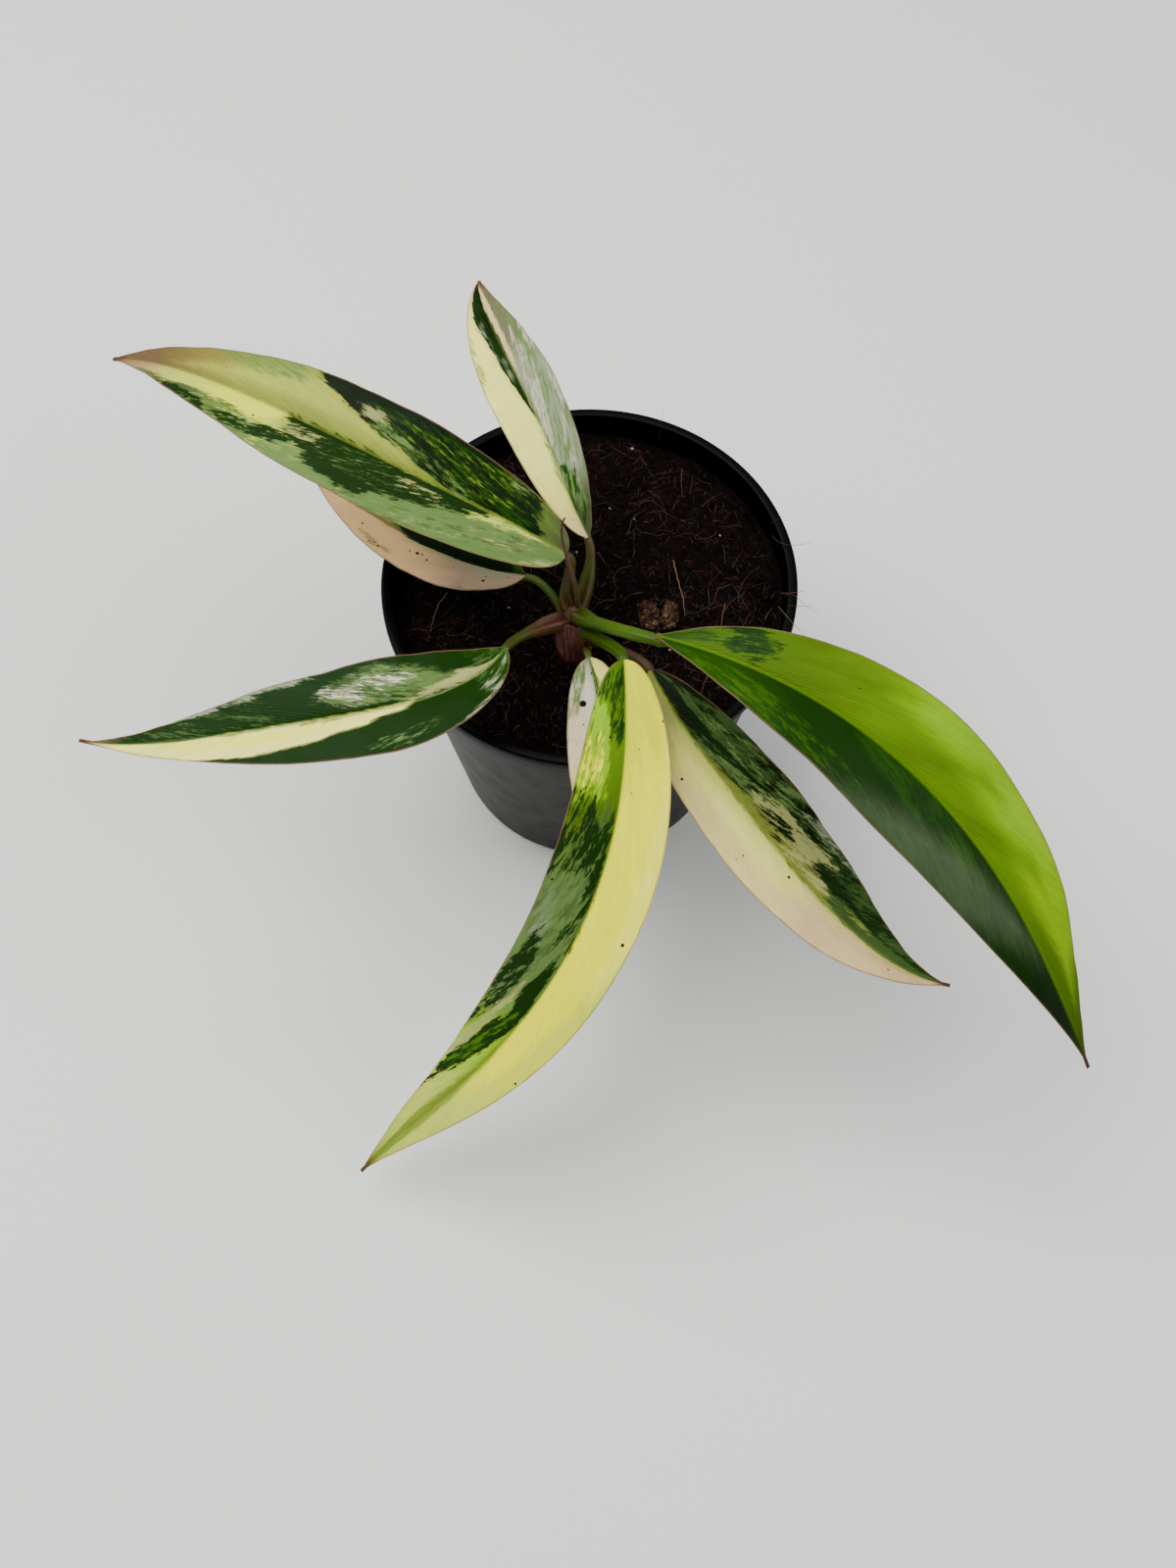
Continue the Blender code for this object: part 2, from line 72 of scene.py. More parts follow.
# Stem, bract and spear, with lengths in millimetres and angles in radians
STEM = (-4.2, -20.6)
STEM_FOOT = 64
STEM_TOP = 119
STEM_RADIUS = 3.6
STEM_NODE_HEIGHTS = (99, 109)
STEM_BARE_FROM = 92          # its tones run from here, at the soil, to its top
STEM_SIDES = 48
BRACT_FROM = math.radians(165)
BRACT_TO = math.radians(345)
BRACT_FOOT = 93.6
BRACT_TOP = 117
BRACT_POINT = 9              # its sides end this much lower than its tip
BRACT_ROUND = 2              # and begin this much higher than its foot
BRACT_BULGE = 0.7
BRACT_THICKNESS = 0.3
SPEAR_POINTS = (
    (-3.4, -20.4, 116), (-3.7, -19.2, 126), (-5.4, -17.6, 136), (-7.2, -15.8, 146), (-6.4, -15.6, 156),
)
SPEAR_RADIUS = 0.8
SPEAR_SIDES = 16
SPEAR_STATIONS = 60

# Husk chips in millimetres: place, size along the three axes, turn in degrees
CHIPS = (
    dict(name="husk_chip_left", x=17.3, y=-8.8, size=(5.8, 9.4, 4.2), turn=12, seed=3),
    dict(name="husk_chip_right", x=23.2, y=-8.4, size=(5.0, 8.0, 3.8), turn=-8, seed=8),
)

# Long coir fibres on the soil: places in millimetres, radius in millimetres, and shade from dark 0 to tan 1
LONG_FIBRES = (
    (((24.6, 12.0), (25.6, 4.6), (27.2, -2.0), (27.6, -7.0)), 0.17, 1.0),
    (((39.3, -4.0), (38.4, -8.6), (37.7, -13.5)), 0.12, 0.9),
    (((34.3, -26.1), (33.1, -28.6), (31.6, -33.1)), 0.12, 0.9),
    (((-16.7, 9.3), (-11.8, 6.9), (-7.3, 4.6)), 0.14, 0.55),
    (((11.5, 31.4), (17.9, 31.4), (21.9, 28.0), (23.1, 24.6), (18.9, 20.1)), 0.09, 0.6),
    (((-24.8, -18.4), (-26.4, -26.4), (-28.2, -31.2)), 0.15, 0.75),
    (((-28.2, -30.9), (-34.0, -30.4), (-39.0, -30.0)), 0.09, 0.6),
    (((-22.2, -28.0), (-19.9, -31.8), (-17.1, -35.0)), 0.08, 0.5),
    (((11.1, 19.8), (12.6, 24.9), (17.0, 28.3)), 0.13, 0.65),
    (((-24.2, -42.2), (-22.6, -38.1), (-23.5, -35.0)), 0.09, 0.7),
    (((41.0, 2.9), (37.5, 1.3), (35.9, -3.7)), 0.1, 0.75),
    (((46.0, -6.0), (43.0, -1.0), (45.5, 4.0), (49.0, 8.0)), 0.08, 0.6),
    (((30.0, 34.0), (31.0, 41.0)), 0.09, 0.55),
    (((-0.4, 30.3), (5.4, 31.4), (9.0, 29.0)), 0.08, 0.55),
    (((-41.3, 0.1), (-43.7, -3.9), (-44.7, -8.2), (-46.1, -12.2)), 0.17, 0.9),
    (((-45.5, -12.2), (-50.0, -12.3), (-53.6, -12.6)), 0.12, 0.7),
    (((50.8, -8.9), (52.0, -6.3), (53.2, -4.0)), 0.12, 0.8),
    (((27.7, 43.0), (27.3, 38.4), (27.5, 32.5)), 0.13, 0.7),
    (((17.4, 36.0), (19.4, 33.2), (22.0, 29.7)), 0.12, 0.6),
    (((-21.3, -44.6), (-20.3, -43.7), (-19.2, -43.4)), 0.15, 0.9),
    (((-24.2, -39.0), (-23.0, -42.4), (-23.5, -45.6)), 0.1, 0.7),
)

# Thin fibres that lie over the rim: places in millimetres with their heights, radius and shade
RIM_FIBRES = (
    (((22.2, 59.7, 101.4), (21.8, 56.0, 100.6), (21.0, 52.2, 98.4), (21.4, 50.0, 94.0)), 0.06, 0.6),
    (((52.8, 19.0, 99.9), (55.0, 20.0, 100.6), (57.2, 21.1, 101.3)), 0.06, 0.6),
    (((53.4, 15.4, 99.4), (55.6, 11.8, 100.6), (60.0, 10.9, 100.9), (63.2, 11.6, 101.2), (65.0, 10.9, 100.4)),
     0.07, 0.7),
    (((55.0, -4.6, 99.8), (58.5, -4.9, 100.6), (61.9, -4.4, 100.9)), 0.1, 0.75),
    (((56.0, -5.6, 99.9), (59.0, -6.2, 100.7), (61.7, -9.2, 100.7), (65.7, -10.9, 99.6)), 0.08, 0.65),
    (((56.6, -9.0, 100.3), (61.0, -9.5, 100.7), (64.6, -9.4, 101.0)), 0.07, 0.6),
    (((54.2, -8.4, 98.6), (56.8, -13.6, 100.6), (59.4, -17.2, 100.7), (61.3, -19.2, 100.3)), 0.09, 0.85),
)

# Short fibres all over the soil: how many, and the radius in millimetres of the thinnest and the thickest
SHORT_FIBRES = 1300
SHORT_FIBRE_RADII = (0.05, 0.13)
FIBRE_SIDES = 5

# Leaves. Lengths in mm, angles in degrees, with the meanings that the solids give them: heading, pitch and
# roll turn the midrib from base to tip, fold and margin are slopes beside the midrib and at the edge.
LEAVES = {
    "upper_left": dict(
        base=(-6.1, -14.2, 136), length=148.5, width=31.8, bias=-0.03,
        widest=0.43, full=0.43, blunt=1.8, slim=1.0,
        heading=(161.5, 156, 149, 155.5), pitch=(28, 2, -28), roll=(11, 6, -8),
        fold=(18, 23), margin=(-7, 11), wave=0.5,
        attach=114, rise=40, bend=150, settle=0.5, root=2.0, neck=1.5, sheath=0.5),
    "back": dict(
        base=(-0.4, -3.5, 128), length=78.5, width=20, bias=-0.07,
        widest=0.56, full=0.61, blunt=1.95, slim=0.9,
        heading=(128.5, 116.5, 118, 94.5), pitch=(45, 24, 4), roll=(-2, 3, -2),
        fold=(21, 12), margin=(-3, -4), wave=0.3,
        attach=112, rise=34, bend=65, settle=0.8, root=2.1, neck=1.3, sheath=0.6),
    "small_left": dict(
        base=(-18.2, -5.4, 111), length=77, width=23.8, bias=0.03,
        widest=0.33, full=0.7, blunt=1.75, slim=1.05,
        heading=(177, 154, 139, 134.5), pitch=(12, -4, -18), roll=(0, 0, -1),
        fold=(20, 12), margin=(-4, -4), wave=0.3,
        attach=110.5, rise=5, bend=140, settle=1, root=1.7, neck=1.2, sheath=0.3),
    "left": dict(
        base=(-23, -33.4, 119), length=127.5, width=27.2, bias=0.02,
        widest=0.32, full=0.75, blunt=1.85, slim=1.35,
        heading=(246.5, 191, 182, 161), pitch=(16, -10, -12), roll=(2, 8, -2),
        fold=(22, 11), margin=(-1, -6), wave=0.5,
        attach=112.5, rise=22, bend=205, settle=0.8, root=2.3, neck=1.4, sheath=0.55),
    "front": dict(
        base=(9.2, -42.4, 128), length=190, width=29.6, bias=-0.03,
        widest=0.36, full=0.47, blunt=2.25, slim=1.05,
        heading=(-87, -115, -151.5, -142.5), pitch=(-4, -48, -36), roll=(-3, 7, 1),
        fold=(21, 15), margin=(-3, 0), wave=0.5,
        attach=109.5, rise=22, bend=-50, settle=0.4, root=1.9, neck=1.7, sheath=0.25),
    "front_right": dict(
        base=(16.9, -37.2, 113), length=123, width=30, bias=0.02,
        widest=0.44, full=0.58, blunt=2.25, slim=1.3,
        heading=(-68.5, -47.5, -42, -8.5), pitch=(-4, -26, -4), roll=(-2, 1, 1),
        fold=(20, 13), margin=(-4, -3), wave=0.5,
        attach=105, rise=16, bend=-36, settle=0.5, root=1.8, neck=1.5, sheath=0.25),
    "right": dict(
        base=(17.6, -38.4, 134), length=182, width=37.4, bias=-0.01,
        widest=0.44, full=0.89, blunt=1.95, slim=1.4,
        heading=(-24.5, -33, -48, -53.5), pitch=(16, -28, -50), roll=(11, -13, 2),
        fold=(25, 10), margin=(2, -6), wave=0.9,
        attach=115.4, rise=40, bend=-57, settle=1, root=2.2, neck=1.8, sheath=0.3),
    "small_front": dict(
        base=(0, -29.9, 107), length=57.5, width=17.6, bias=0.09,
        widest=0.42, full=0.53, blunt=1.95, slim=1.15,
        heading=(-77, -86, -99, -104.5), pitch=(4, -14, -32), roll=(2, 1, 0),
        fold=(20, 12), margin=(-4, -4), wave=0.3,
        attach=99, rise=25, bend=-32, settle=1, root=1.4, neck=1.1, sheath=0.3),
}

# All blades and petioles, with lengths in millimetres
WAVES_ALONG = 3.5
BASE_HALF_WIDTH = 1.0
TIP_HALF_WIDTH = 0.5
BLADE_ROWS = 240
BLADE_COLUMNS = 71
BLADE_THICKNESS = 0.6
EDGE_THICKNESS = 0.3
BLADE_CEILING = 159.9        # no blade rises above the solids' own highest point
GROOVE_DEPTH = 0.42          # along the midrib, deepest at the base
GROOVE_HALF_WIDTH = 0.8
KEEL_DEPTH = 1.0             # under the midrib
VEIN_RELIEF = 0.015
VEIN_RELIEF_GAP = 2.3
EDGE_RIPPLE = 0.9            # height of the edge's ripples, shared by their number along the blade
RIPPLE_COUNTS = (5, 9, 14, 23)
PETIOLE_SIDES = 24
PETIOLE_STATIONS = 40
PETIOLE_END_STATIONS = 12    # more of them, in the stretch under the blade
PETIOLE_END = (0.8, 9)       # mm from the blade's base over which that stretch runs
WING_ANGLE = 0.95            # the sheath's two free edges, in radians from each side
WING_SPREAD = 0.26
CHANNEL_SPREAD = 0.38

# Colours as they look on a screen, 0 to 255
TONES = {
    "forest": (15, 32, 2),
    "deep": (22, 50, 0),
    "bluegreen": (27, 49, 15),
    "green": (34, 68, 0),
    "leaf": (66, 108, 8),
    "moss": (104, 130, 38),
    "grey_green": (64, 88, 44),
    "dull_green": (70, 82, 50),
    "sage_brown": (106, 108, 76),
    "sage": (100, 126, 68),
    "sage_pale": (140, 152, 118),
    "lime": (76, 105, 0),
    "lime_light": (93, 129, 2),
    "lime_pale": (148, 196, 20),
    "lemon": (218, 216, 0),
    "butter": (252, 248, 0),
    "olive": (134, 144, 58),
    "ochre": (130, 120, 58),
    "cream_green": (198, 212, 84),
    "cream": (246, 238, 126),
    "ivory": (254, 251, 132),
    "peach": (224, 184, 138),
    "apricot": (250, 202, 142),
    "dusty_pink": (172, 146, 120),
    "chalk": (224, 210, 188),
    "blush": (228, 198, 142),
    "rose": (128, 96, 78),
    "straw": (168, 170, 104),
    "tan": (178, 144, 98),
    "umber": (108, 88, 60),
    "margin": (128, 92, 72),
    "tip": (82, 52, 38),
    "speck": (32, 22, 15),
    "sheath_olive": (66, 58, 22),
    "sheath_pink": (80, 47, 33),
    "sheath_edge": (90, 64, 46),
    "stalk_olive": (60, 66, 18),
    "stalk_pink": (82, 64, 42),
    "stalk_brown": (70, 48, 26),
    "stalk_green": (54, 78, 12),
    "stalk_lime": (68, 96, 14),
    "stalk_pale": (98, 108, 50),
    "ring": (78, 46, 28),
    "bark": (50, 36, 24),
    "bract": (108, 62, 57),
    # pale fibre streaks, partly painted sheen
    "bract_pale_and_sheen": (172, 132, 130),
    "bract_rust": (80, 40, 24),
    "spear": (84, 50, 32),
    "spear_olive": (70, 56, 30),
    "peat": (7, 5, 4),
    "peat_brown": (26, 15, 11),
    "peat_tan": (56, 32, 24),
    "fibre_dark": (38, 24, 18),
    "fibre_red": (63, 37, 26),
    "fibre_tan": (118, 88, 60),
    "perlite": (150, 145, 136),
    "husk_dark": (28, 18, 13),
    "husk": (72, 51, 38),
    "husk_pale": (150, 120, 94),
    "plastic": (3, 3, 4),
    "plastic_grey": (6, 6, 7),
    "plastic_dust": (34, 31, 28),
    "floor": (242, 241, 238),
}


def layer(paint, *patches, ragged=1.0, solid=1.5, soft=0.15, share=1.0):
    """One tone laid over patches of a blade. A patch is an outline of (u, v) places, in percent.

    ragged is how far its edge strays, in mm. Where solid, also in mm, is less than ragged, streaks of
    the tone below show through the patch's middle. soft is the fade at the edge, share the cover.
    """
    return dict(paint=paint, patches=patches, ragged=ragged, solid=solid, soft=soft, share=share)


def blade_marks(rib, left, right, *layers, spots=()):
    """All markings of one blade.

    rib is the midrib's tone and cover, left and right are the ground tones of the two halves from base to
    tip, and spots are small dark specks at (u, v) places, with their radius in mm.
    """
    return dict(rib=rib, left=left, right=right, layers=layers, spots=spots)


# Places are in percent: u from the base 0 to the tip 100, v from the left edge -100 to the right edge 100.
MARKINGS = {
    "front": blade_marks(
        ("moss", 0.35),
        "lemon lemon butter butter butter butter butter cream_green cream_green olive",
        "lime lime_light lime sage sage sage lime_pale cream_green cream_green olive",
        layer("ivory", ((10, -105), (20, -90), (30, -70), (46, -75), (50, -105)), ragged=0.8, soft=3,
            share=0.35),
        layer("cream_green", ((40, -105), (50, -75), (60, -60), (90, -50), (100, -105)), ragged=0.8, soft=3,
            share=0.7),
        layer("moss", ((62, -2), (75, -12), (90, -36), (99, -50), (100, 30), (85, 34), (70, 8)), ragged=0.8,
            soft=1.2, share=0.75),
        layer("lime_pale", ((10, 40), (20, 30), (22, 98), (6, 98), (7, 75)), solid=0.2, share=0.65),
        layer("butter", ((12, 56), (17, 50), (20, 90), (13, 95)), solid=-0.25, share=0.85),
        layer("green", ((1, 4), (11, 5), (11.5, 40), (6, 50), (1.5, 40)), solid=0.2),
        layer("deep", ((2, 10), (10, 10), (11, 38), (4, 40)), solid=-0.2),
        layer("green", ((1, 55), (5, 60), (5, 90), (2, 85)), solid=0),
        layer("grey_green", ((22, 20), (42, 10), (50, 50), (42, 98), (22, 98)), solid=-0.2, soft=0.5,
            share=0.7),
        layer("bluegreen", ((23.5, 6), (43, 3), (33, 20), (31, 45), (33, 102), (19, 102), (21, 50),
            (26, 30)), ragged=1.2, solid=0.15),
        layer("deep", ((25, 4), (34, 4), (30, 28), (26, 30)), ((36, 6), (41, 8), (44, 36), (40, 30)),
            solid=0.3),
        layer("sage_pale", ((38, 62), (44, 62), (43, 84), (36, 80)), solid=-0.2, soft=1, share=0.7),
        layer("bluegreen", ((42, 66), (50, 50), (60, 68), (68, 102), (52, 92), (46, 80)), solid=0.3),
        layer("deep", ((45.5, 12), (49, 5), (60, 4), (66, 20), (73, 42), (82, 104), (76, 92), (68, 66),
            (62, 50), (59, 30), (53, 36)), ragged=0.9, solid=0.7),
        layer("leaf", ((58, 18), (66, 32), (74, 60), (76, 80), (70, 60)), solid=-0.35),
        layer("straw", ((52, 42), (60, 52), (68, 72), (73, 98), (66, 86), (58, 58)), solid=0.4, share=0.9),
        spots=((38.5, -83, 0.45), (65, -92, 0.4), (9.2, -96, 0.3), (11.5, 40, 0.35), (34, 85, 0.35),
            (13, -33, 0.2), (19, -22, 0.2))),
    "right": blade_marks(
        ("lime_light", 0.5),
        "green lime lime lime_light lime_light lime_light lime_light lime stalk_lime stalk_olive",
        "green green deep deep deep deep deep forest deep",
        layer("lime_pale", ((36, -70), (40, -100), (78, -100), (84, -60), (70, -35), (50, -50)), ragged=0.6,
            soft=4, share=0.65),
        layer("lime", ((20, -6), (24, -10), (36, -80), (32, -80)), ((36, -5), (42, -5), (54, -70),
            (50, -75)), ((50, -5), (56, -5), (68, -60), (64, -65)), ragged=0.6, soft=2, share=0.6),
        layer("green", ((0, -100), (6, -100), (9, -60), (6, -30), (0, -20)), solid=0, soft=0.4),
        layer("green", ((10, -102), (15, -92), (17, -50), (15.5, -5), (10, -30), (11, -60)), ragged=1.4,
            solid=0.4, soft=0.3),
        layer("deep", ((11, -96), (14, -90), (15.5, -50), (15, -20), (12, -40)), ragged=1.4, solid=0,
            soft=0.4),
        layer("leaf", ((4, 60), (10, 30), (20, 42), (40, 80), (20, 100), (5, 98)), solid=-0.5, soft=0.8,
            share=0.5),
        layer("lime", ((5, 75), (12, 55), (26, 85), (8, 95)), solid=-0.8, soft=0.3, share=0.5),
        layer("green", ((34, 6), (50, 4), (62, 30), (50, 50), (38, 30)), solid=-0.3, soft=0.7),
        # Painted sheen: a faint pale sage wash over the dark half stands in for the soft reflection of the
        # light
        layer("sage_pale", ((36, 100), (47, 60), (66, 24), (74, 18), (72, 50), (64, 98)), ragged=0.8,
            soft=4.5, share=0.2),
        spots=((30, -50, 0.18),)),
    "front_right": blade_marks(
        ("olive", 0.3),
        "forest forest bluegreen forest forest bluegreen bluegreen bluegreen green",
        "olive straw cream ivory ivory cream blush blush tan rose",
        layer("tan", ((60, 105), (62, 50), (86, 20), (100, 10), (100, 105)), soft=3, share=0.35),
        layer("blush", ((15, 105), (30, 55), (60, 60), (86, 30), (100, 20), (100, 105)), soft=3, share=0.7),
        layer("cream_green", ((5, 0), (40, 0), (96, 0), (90, 16), (50, 10), (20, 30)), soft=2, share=0.5),
        layer("sage", ((10, -10), (24, -30), (40, -42), (46, 2), (10, 2)), ragged=1.2, solid=0, soft=0.4,
            share=0.8),
        layer("grey_green", ((2, -60), (20, -95), (45, -100), (42, -60), (20, -40)), ((58, -55), (62, -100),
            (90, -95), (84, -50)), solid=-0.15),
        layer("sage", ((16, -50), (30, -95), (60, -100), (60, -60), (40, -50)), ragged=1.2, solid=-0.7),
        layer("grey_green", ((54, 2), (60, -20), (74, -36), (86, -42), (98, -60), (100, 2)), solid=0.6,
            soft=0.6),
        layer("olive", ((20, 2), (34, -16), (46, -30), (62, -20), (66, -6), (70, 2)), soft=0.9, share=0.7),
        layer("straw", ((36, -26), (41, -46), (46, -55), (54, -58), (59, -72), (61, -64), (57, -46),
            (64, -14), (50, -6), (42, -14)), ragged=1.2, solid=0.3, share=0.85),
        layer("sage_pale", ((48, -80), (56, -86), (68, -100), (60, -98), (50, -95)), solid=-0.35),
        layer("forest", ((39.5, -14), (42, -30), (48, -42), (50, -30), (48, -8), (42, -6)), solid=0.15),
        layer("forest", ((58, -30), (64, -54), (84, -62), (80, -40), (70, -30)), solid=-0.4),
        layer("olive", ((68, -30), (74, -36), (77, -30), (72, -24)), solid=0, share=0.8),
        spots=((11.3, 42, 0.4), (24, 76, 0.38), (55.6, 23, 0.42), (85.8, 48, 0.4), (28, -14, 0.2),
            (45, 66, 0.25), (44.5, 80, 0.2))),
    "upper_left": blade_marks(
        ("olive", 0.35),
        # Both halves darken to umber towards the tip: partly the tip's own brown, partly painted shade
        "sage sage sage sage sage sage cream_green cream_green cream_green tan umber",
        "dull_green moss moss olive olive olive olive ochre umber umber",
        layer("straw", ((0, -80), (4, -98), (9, -100), (4, -70)), solid=0.4, soft=0.5),
        layer("butter", ((57.5, -6), (60, -50), (68, -50), (76, -30), (70, -6)), ragged=0.8, soft=0.8,
            share=0.45),
        layer("sage", ((50, -105), (53, -50), (60, -50), (70, -50), (80, -62), (90, -90), (88, -105)),
            ragged=1.2, solid=0.5, soft=0.4),
        layer("grey_green", ((4, -80), (20, -100), (40, -100), (42, -80), (24, -50), (6, -20)), solid=-0.45,
            share=0.8),
        layer("straw", ((4, -50), (10, -90), (30, -100), (40, -95), (24, -55), (8, -20)), solid=-0.7,
            share=0.6),
        layer("cream_green", ((1, -10), (10, -14), (20, -32), (22, -20), (14, -2)), ragged=1.1, solid=0.1,
            soft=0.5),
        layer("bluegreen", ((15, 0), (20, -28), (27, -52), (34, -62), (38, -80), (47, -84), (50, -58),
            (55, -42), (56.5, 2)), ragged=1.1, solid=0.9),
        layer("sage", ((22, -36), (30, -60), (40, -55), (54, -40), (50, -16), (30, -14)), solid=-0.7),
        layer("straw", ((26, -34), (32, -34), (31, -18), (27, -20)), ((50, -36), (55, -40), (55.5, -20),
            (51, -18)), ragged=1.2, solid=-0.3, share=0.75),
        layer("dull_green", ((62, -50), (66, -98), (80, -100), (90, -86), (80, -60), (70, -45)), ragged=1.3,
            solid=0, soft=0.5, share=0.75),
        layer("moss", ((64, -56), (66, -90), (72, -90), (73, -60), (68, -46)), solid=-0.3, soft=0.4),
        layer("bluegreen", ((53, -45), (56, -72), (66, -95), (70, -85), (62, -50)), ((70, -100), (86, -100),
            (82, -74), (73, -72)), solid=0.2),
        layer("cream_green", ((50, 90), (30, 10), (50, 30), (80, 30), (70, 60)), soft=3, share=0.4),
        layer("sage", ((58, 70), (66, 60), (80, 102), (60, 102)), solid=0, soft=0.8),
        layer("forest", ((5.5, 16), (7, 5), (26, 3), (31, 14), (36, 30), (45, 50), (55, 84), (55, 104),
            (8, 104), (7.5, 50)), ragged=0.7, solid=1.2),
        layer("green", ((10, 10), (28, 8), (40, 42), (42, 80), (20, 98), (7, 98)), ragged=1.1, solid=-0.3,
            share=0.8),
        layer("moss", ((10, 40), (24, 14), (40, 46), (38, 70), (20, 80), (9, 98)), ragged=1.1, solid=-0.7,
            share=0.85),
        layer("sage", ((22, 6), (30, 14), (38, 34), (40, 50), (30, 36), (25, 20)), ragged=1.1, solid=-0.3,
            share=0.8),
        layer("sage", ((9, 80), (13, 75), (13, 98), (9, 98)), solid=-0.6),
        layer("straw", ((40.5, 58), (44, 56), (44.5, 70), (41, 72)), ragged=0.9, solid=0.4, share=0.65),
        spots=((62, -42, 0.3), (60.5, -40, 0.2), (73, 46, 0.25), (93, -20, 0.2))),
    "left": blade_marks(
        ("sage", 0.4),
        "green deep deep deep deep deep deep ivory umber",
        "green deep deep deep deep deep deep deep deep rose",
        layer("grey_green", ((1, -90), (10, -90), (10, 0), (2, 0)), ((1, 20), (6, 30), (10, 98), (2, 98)),
            solid=-0.4),
        layer("sage_pale", ((1.5, -50), (5, -74), (10.5, -68), (10.5, -42), (7, -34)), ((5, -92), (12, -96),
            (18, -98), (10, -84)), solid=0),
        layer("sage", ((22, -70), (30, -86), (36, -84), (32, -64), (24, -60)), solid=-0.5),
        layer("straw", ((3, 2), (26, 2), (24, 24), (18, 32), (12, 28), (7, 14)), solid=0.6, soft=0.4),
        layer("grey_green", ((16, 30), (24, 12), (36, 16), (45, 40), (41, 70), (32, 92), (18, 60)),
            solid=0.5, soft=0.4, share=0.85),
        layer("sage", ((18, 36), (26, 12), (36, 18), (43, 36), (36, 62), (30, 86), (22, 70)), ragged=1.2,
            solid=0, soft=0.3, share=0.7),
        layer("sage_pale", ((26, 50), (30, 20), (38, 18), (45, 38), (42, 62), (32, 84)), ragged=1.2,
            solid=-0.8, soft=0.3, share=0.75),
        layer("chalk", ((33, 34), (38, 24), (45, 40), (42, 56), (36, 46)), ((24, 42), (33, 50), (32, 78),
            (28, 66)), ragged=1.2, solid=-0.85, share=0.85),
        layer("grey_green", ((54, 8), (63, 4), (70, 30), (62, 40)), ((56, 50), (66, 50), (70, 80), (60, 80)),
            solid=-0.4),
        layer("grey_green", ((70, 10), (86, 4), (96, 10), (90, 80), (74, 70)), ragged=1.2, solid=-0.4),
        layer("sage_pale", ((46, 100), (49, 90), (60, 94), (59, 80), (70, 86), (78, 96), (78, 104),
            (46, 104)), solid=0.3),
        layer("ivory", ((25.5, 1), (27.5, -12), (33.5, -16), (36, -28), (42, -36), (46, -50), (53, -60),
            (60, -78), (69, -88), (76, -106), (93, -106), (97, -70), (90, -26), (82, -6), (66, 1)),
            ragged=0.3, solid=3),
        layer("butter", ((42, -16), (50, -32), (70, -55), (84, -36), (80, -18)), ragged=0.4, soft=1,
            share=0.5),
        layer("green", ((56, 2), (66, -5), (70, 2)), ((40, -2), (46, -6), (50, -2)), solid=0, share=0.6)),
    "back": blade_marks(
        ("sage", 0.25),
        "blush cream ivory ivory ivory ivory cream blush",
        "dull_green dull_green sage_pale sage_pale sage_pale sage_pale sage_brown sage_brown umber",
        layer("ochre", ((62, -94), (66, -84), (78, -88), (76, -98)), solid=-0.1, share=0.6),
        layer("sage", ((12, 30), (30, 10), (50, 30), (90, 80), (50, 98), (12, 98)), solid=-0.15, soft=0.4),
        layer("chalk", ((28, 10), (50, 6), (62, 20), (76, 60), (62, 50), (50, 34)), ((20, 62), (32, 56),
            (42, 70), (26, 76)), ((46, 86), (60, 84), (78, 98), (50, 98)), ragged=1.2, solid=-0.2, soft=0.4,
            share=0.5),
        layer("green", ((4, 24), (9, 26), (11, 60), (6, 50)), ((14, 36), (20, 42), (25, 58), (17, 50)),
            ((20, 8), (26, 10), (25, 24), (20, 20)), solid=-0.1),
        layer("forest", ((12, 2), (16, 2), (16, 10), (13, 10)), solid=0.3),
        layer("leaf", ((10, -10), (50, -3), (50, 2), (10, 2)), solid=0, share=0.6),
        layer("blush", ((60, 6), (70, 2), (86, 0), (96, -20), (95, 14), (90, 30), (76, 22)), ragged=0.5,
            soft=0.4, share=0.9),
        layer("bluegreen", ((45.5, -1), (54, -16), (60, -24), (70, -34), (79, -48), (84, -62), (94, -80),
            (100, -94), (100, -36), (94, -16), (86, -2), (78, 4), (60, 0)), ragged=0.45),
        layer("forest", ((78, -4), (84, -50), (94, -70), (100, -80), (100, -40), (90, -10)), solid=0.1),
        layer("sage_pale", ((61, -15), (67, -19), (67, -14), (62, -12)), ((69, -28), (75, -36), (74, -30)),
            ((78, -38), (82, -44), (82, -36)), ragged=0.4, solid=-0.15),
        spots=((87.2, 34, 0.32), (8.8, 40, 0.3))),
    "small_left": blade_marks(
        ("forest", 0.3),
        "dusty_pink dusty_pink dusty_pink peach apricot apricot apricot apricot peach rose",
        "green leaf leaf sage cream_green peach rose",
        layer("sage_pale", ((1, -30), (10, -50), (20, -24), (44, -16), (46, -2), (2, -2)), soft=1,
            share=0.5),
        layer("grey_green", ((20, -90), (30, -104), (10, -104)), ((49, -78), (56, -86), (58, -74)),
            solid=-0.1, share=0.4),
        layer("forest", ((3, 40), (5, -1), (10, -6), (47.5, -7), (50, 6), (60, 20), (40, 40), (10, 50)),
            ragged=0.35),
        layer("ochre", ((46, -2), (60, -4), (80, -20), (84, -10), (60, 10)), soft=0.6, share=0.6),
        spots=((6, -42, 0.3), (14, -63, 0.42), (38.7, -39, 0.48), (37, -36, 0.3), (34.5, -45, 0.3),
            (41.5, -43, 0.25), (63, -53, 0.35), (13.5, -45, 0.25), (25, -37, 0.2), (52, -80, 0.3),
            (54, -76, 0.22), (56, -83, 0.22))),
    "small_front": blade_marks(
        ("green", 0.55),
        "cream cream cream cream cream_green cream cream blush",
        "sage_pale chalk chalk chalk chalk ivory ivory blush",
        layer("leaf", ((2, 0), (6, -10), (10, -14), (14, -28), (20, -24), (22, -10), (27, -4), (27, 2)),
            ragged=0.5, solid=0.3),
        layer("ivory", ((14, -24), (16.5, -26), (18.5, -12), (15, -12)), ragged=0.4, solid=0.4),
        layer("sage", ((2, 40), (14, 50), (30, 72), (33, 98), (4, 98)), ragged=0.8, solid=0.2, soft=0.5),
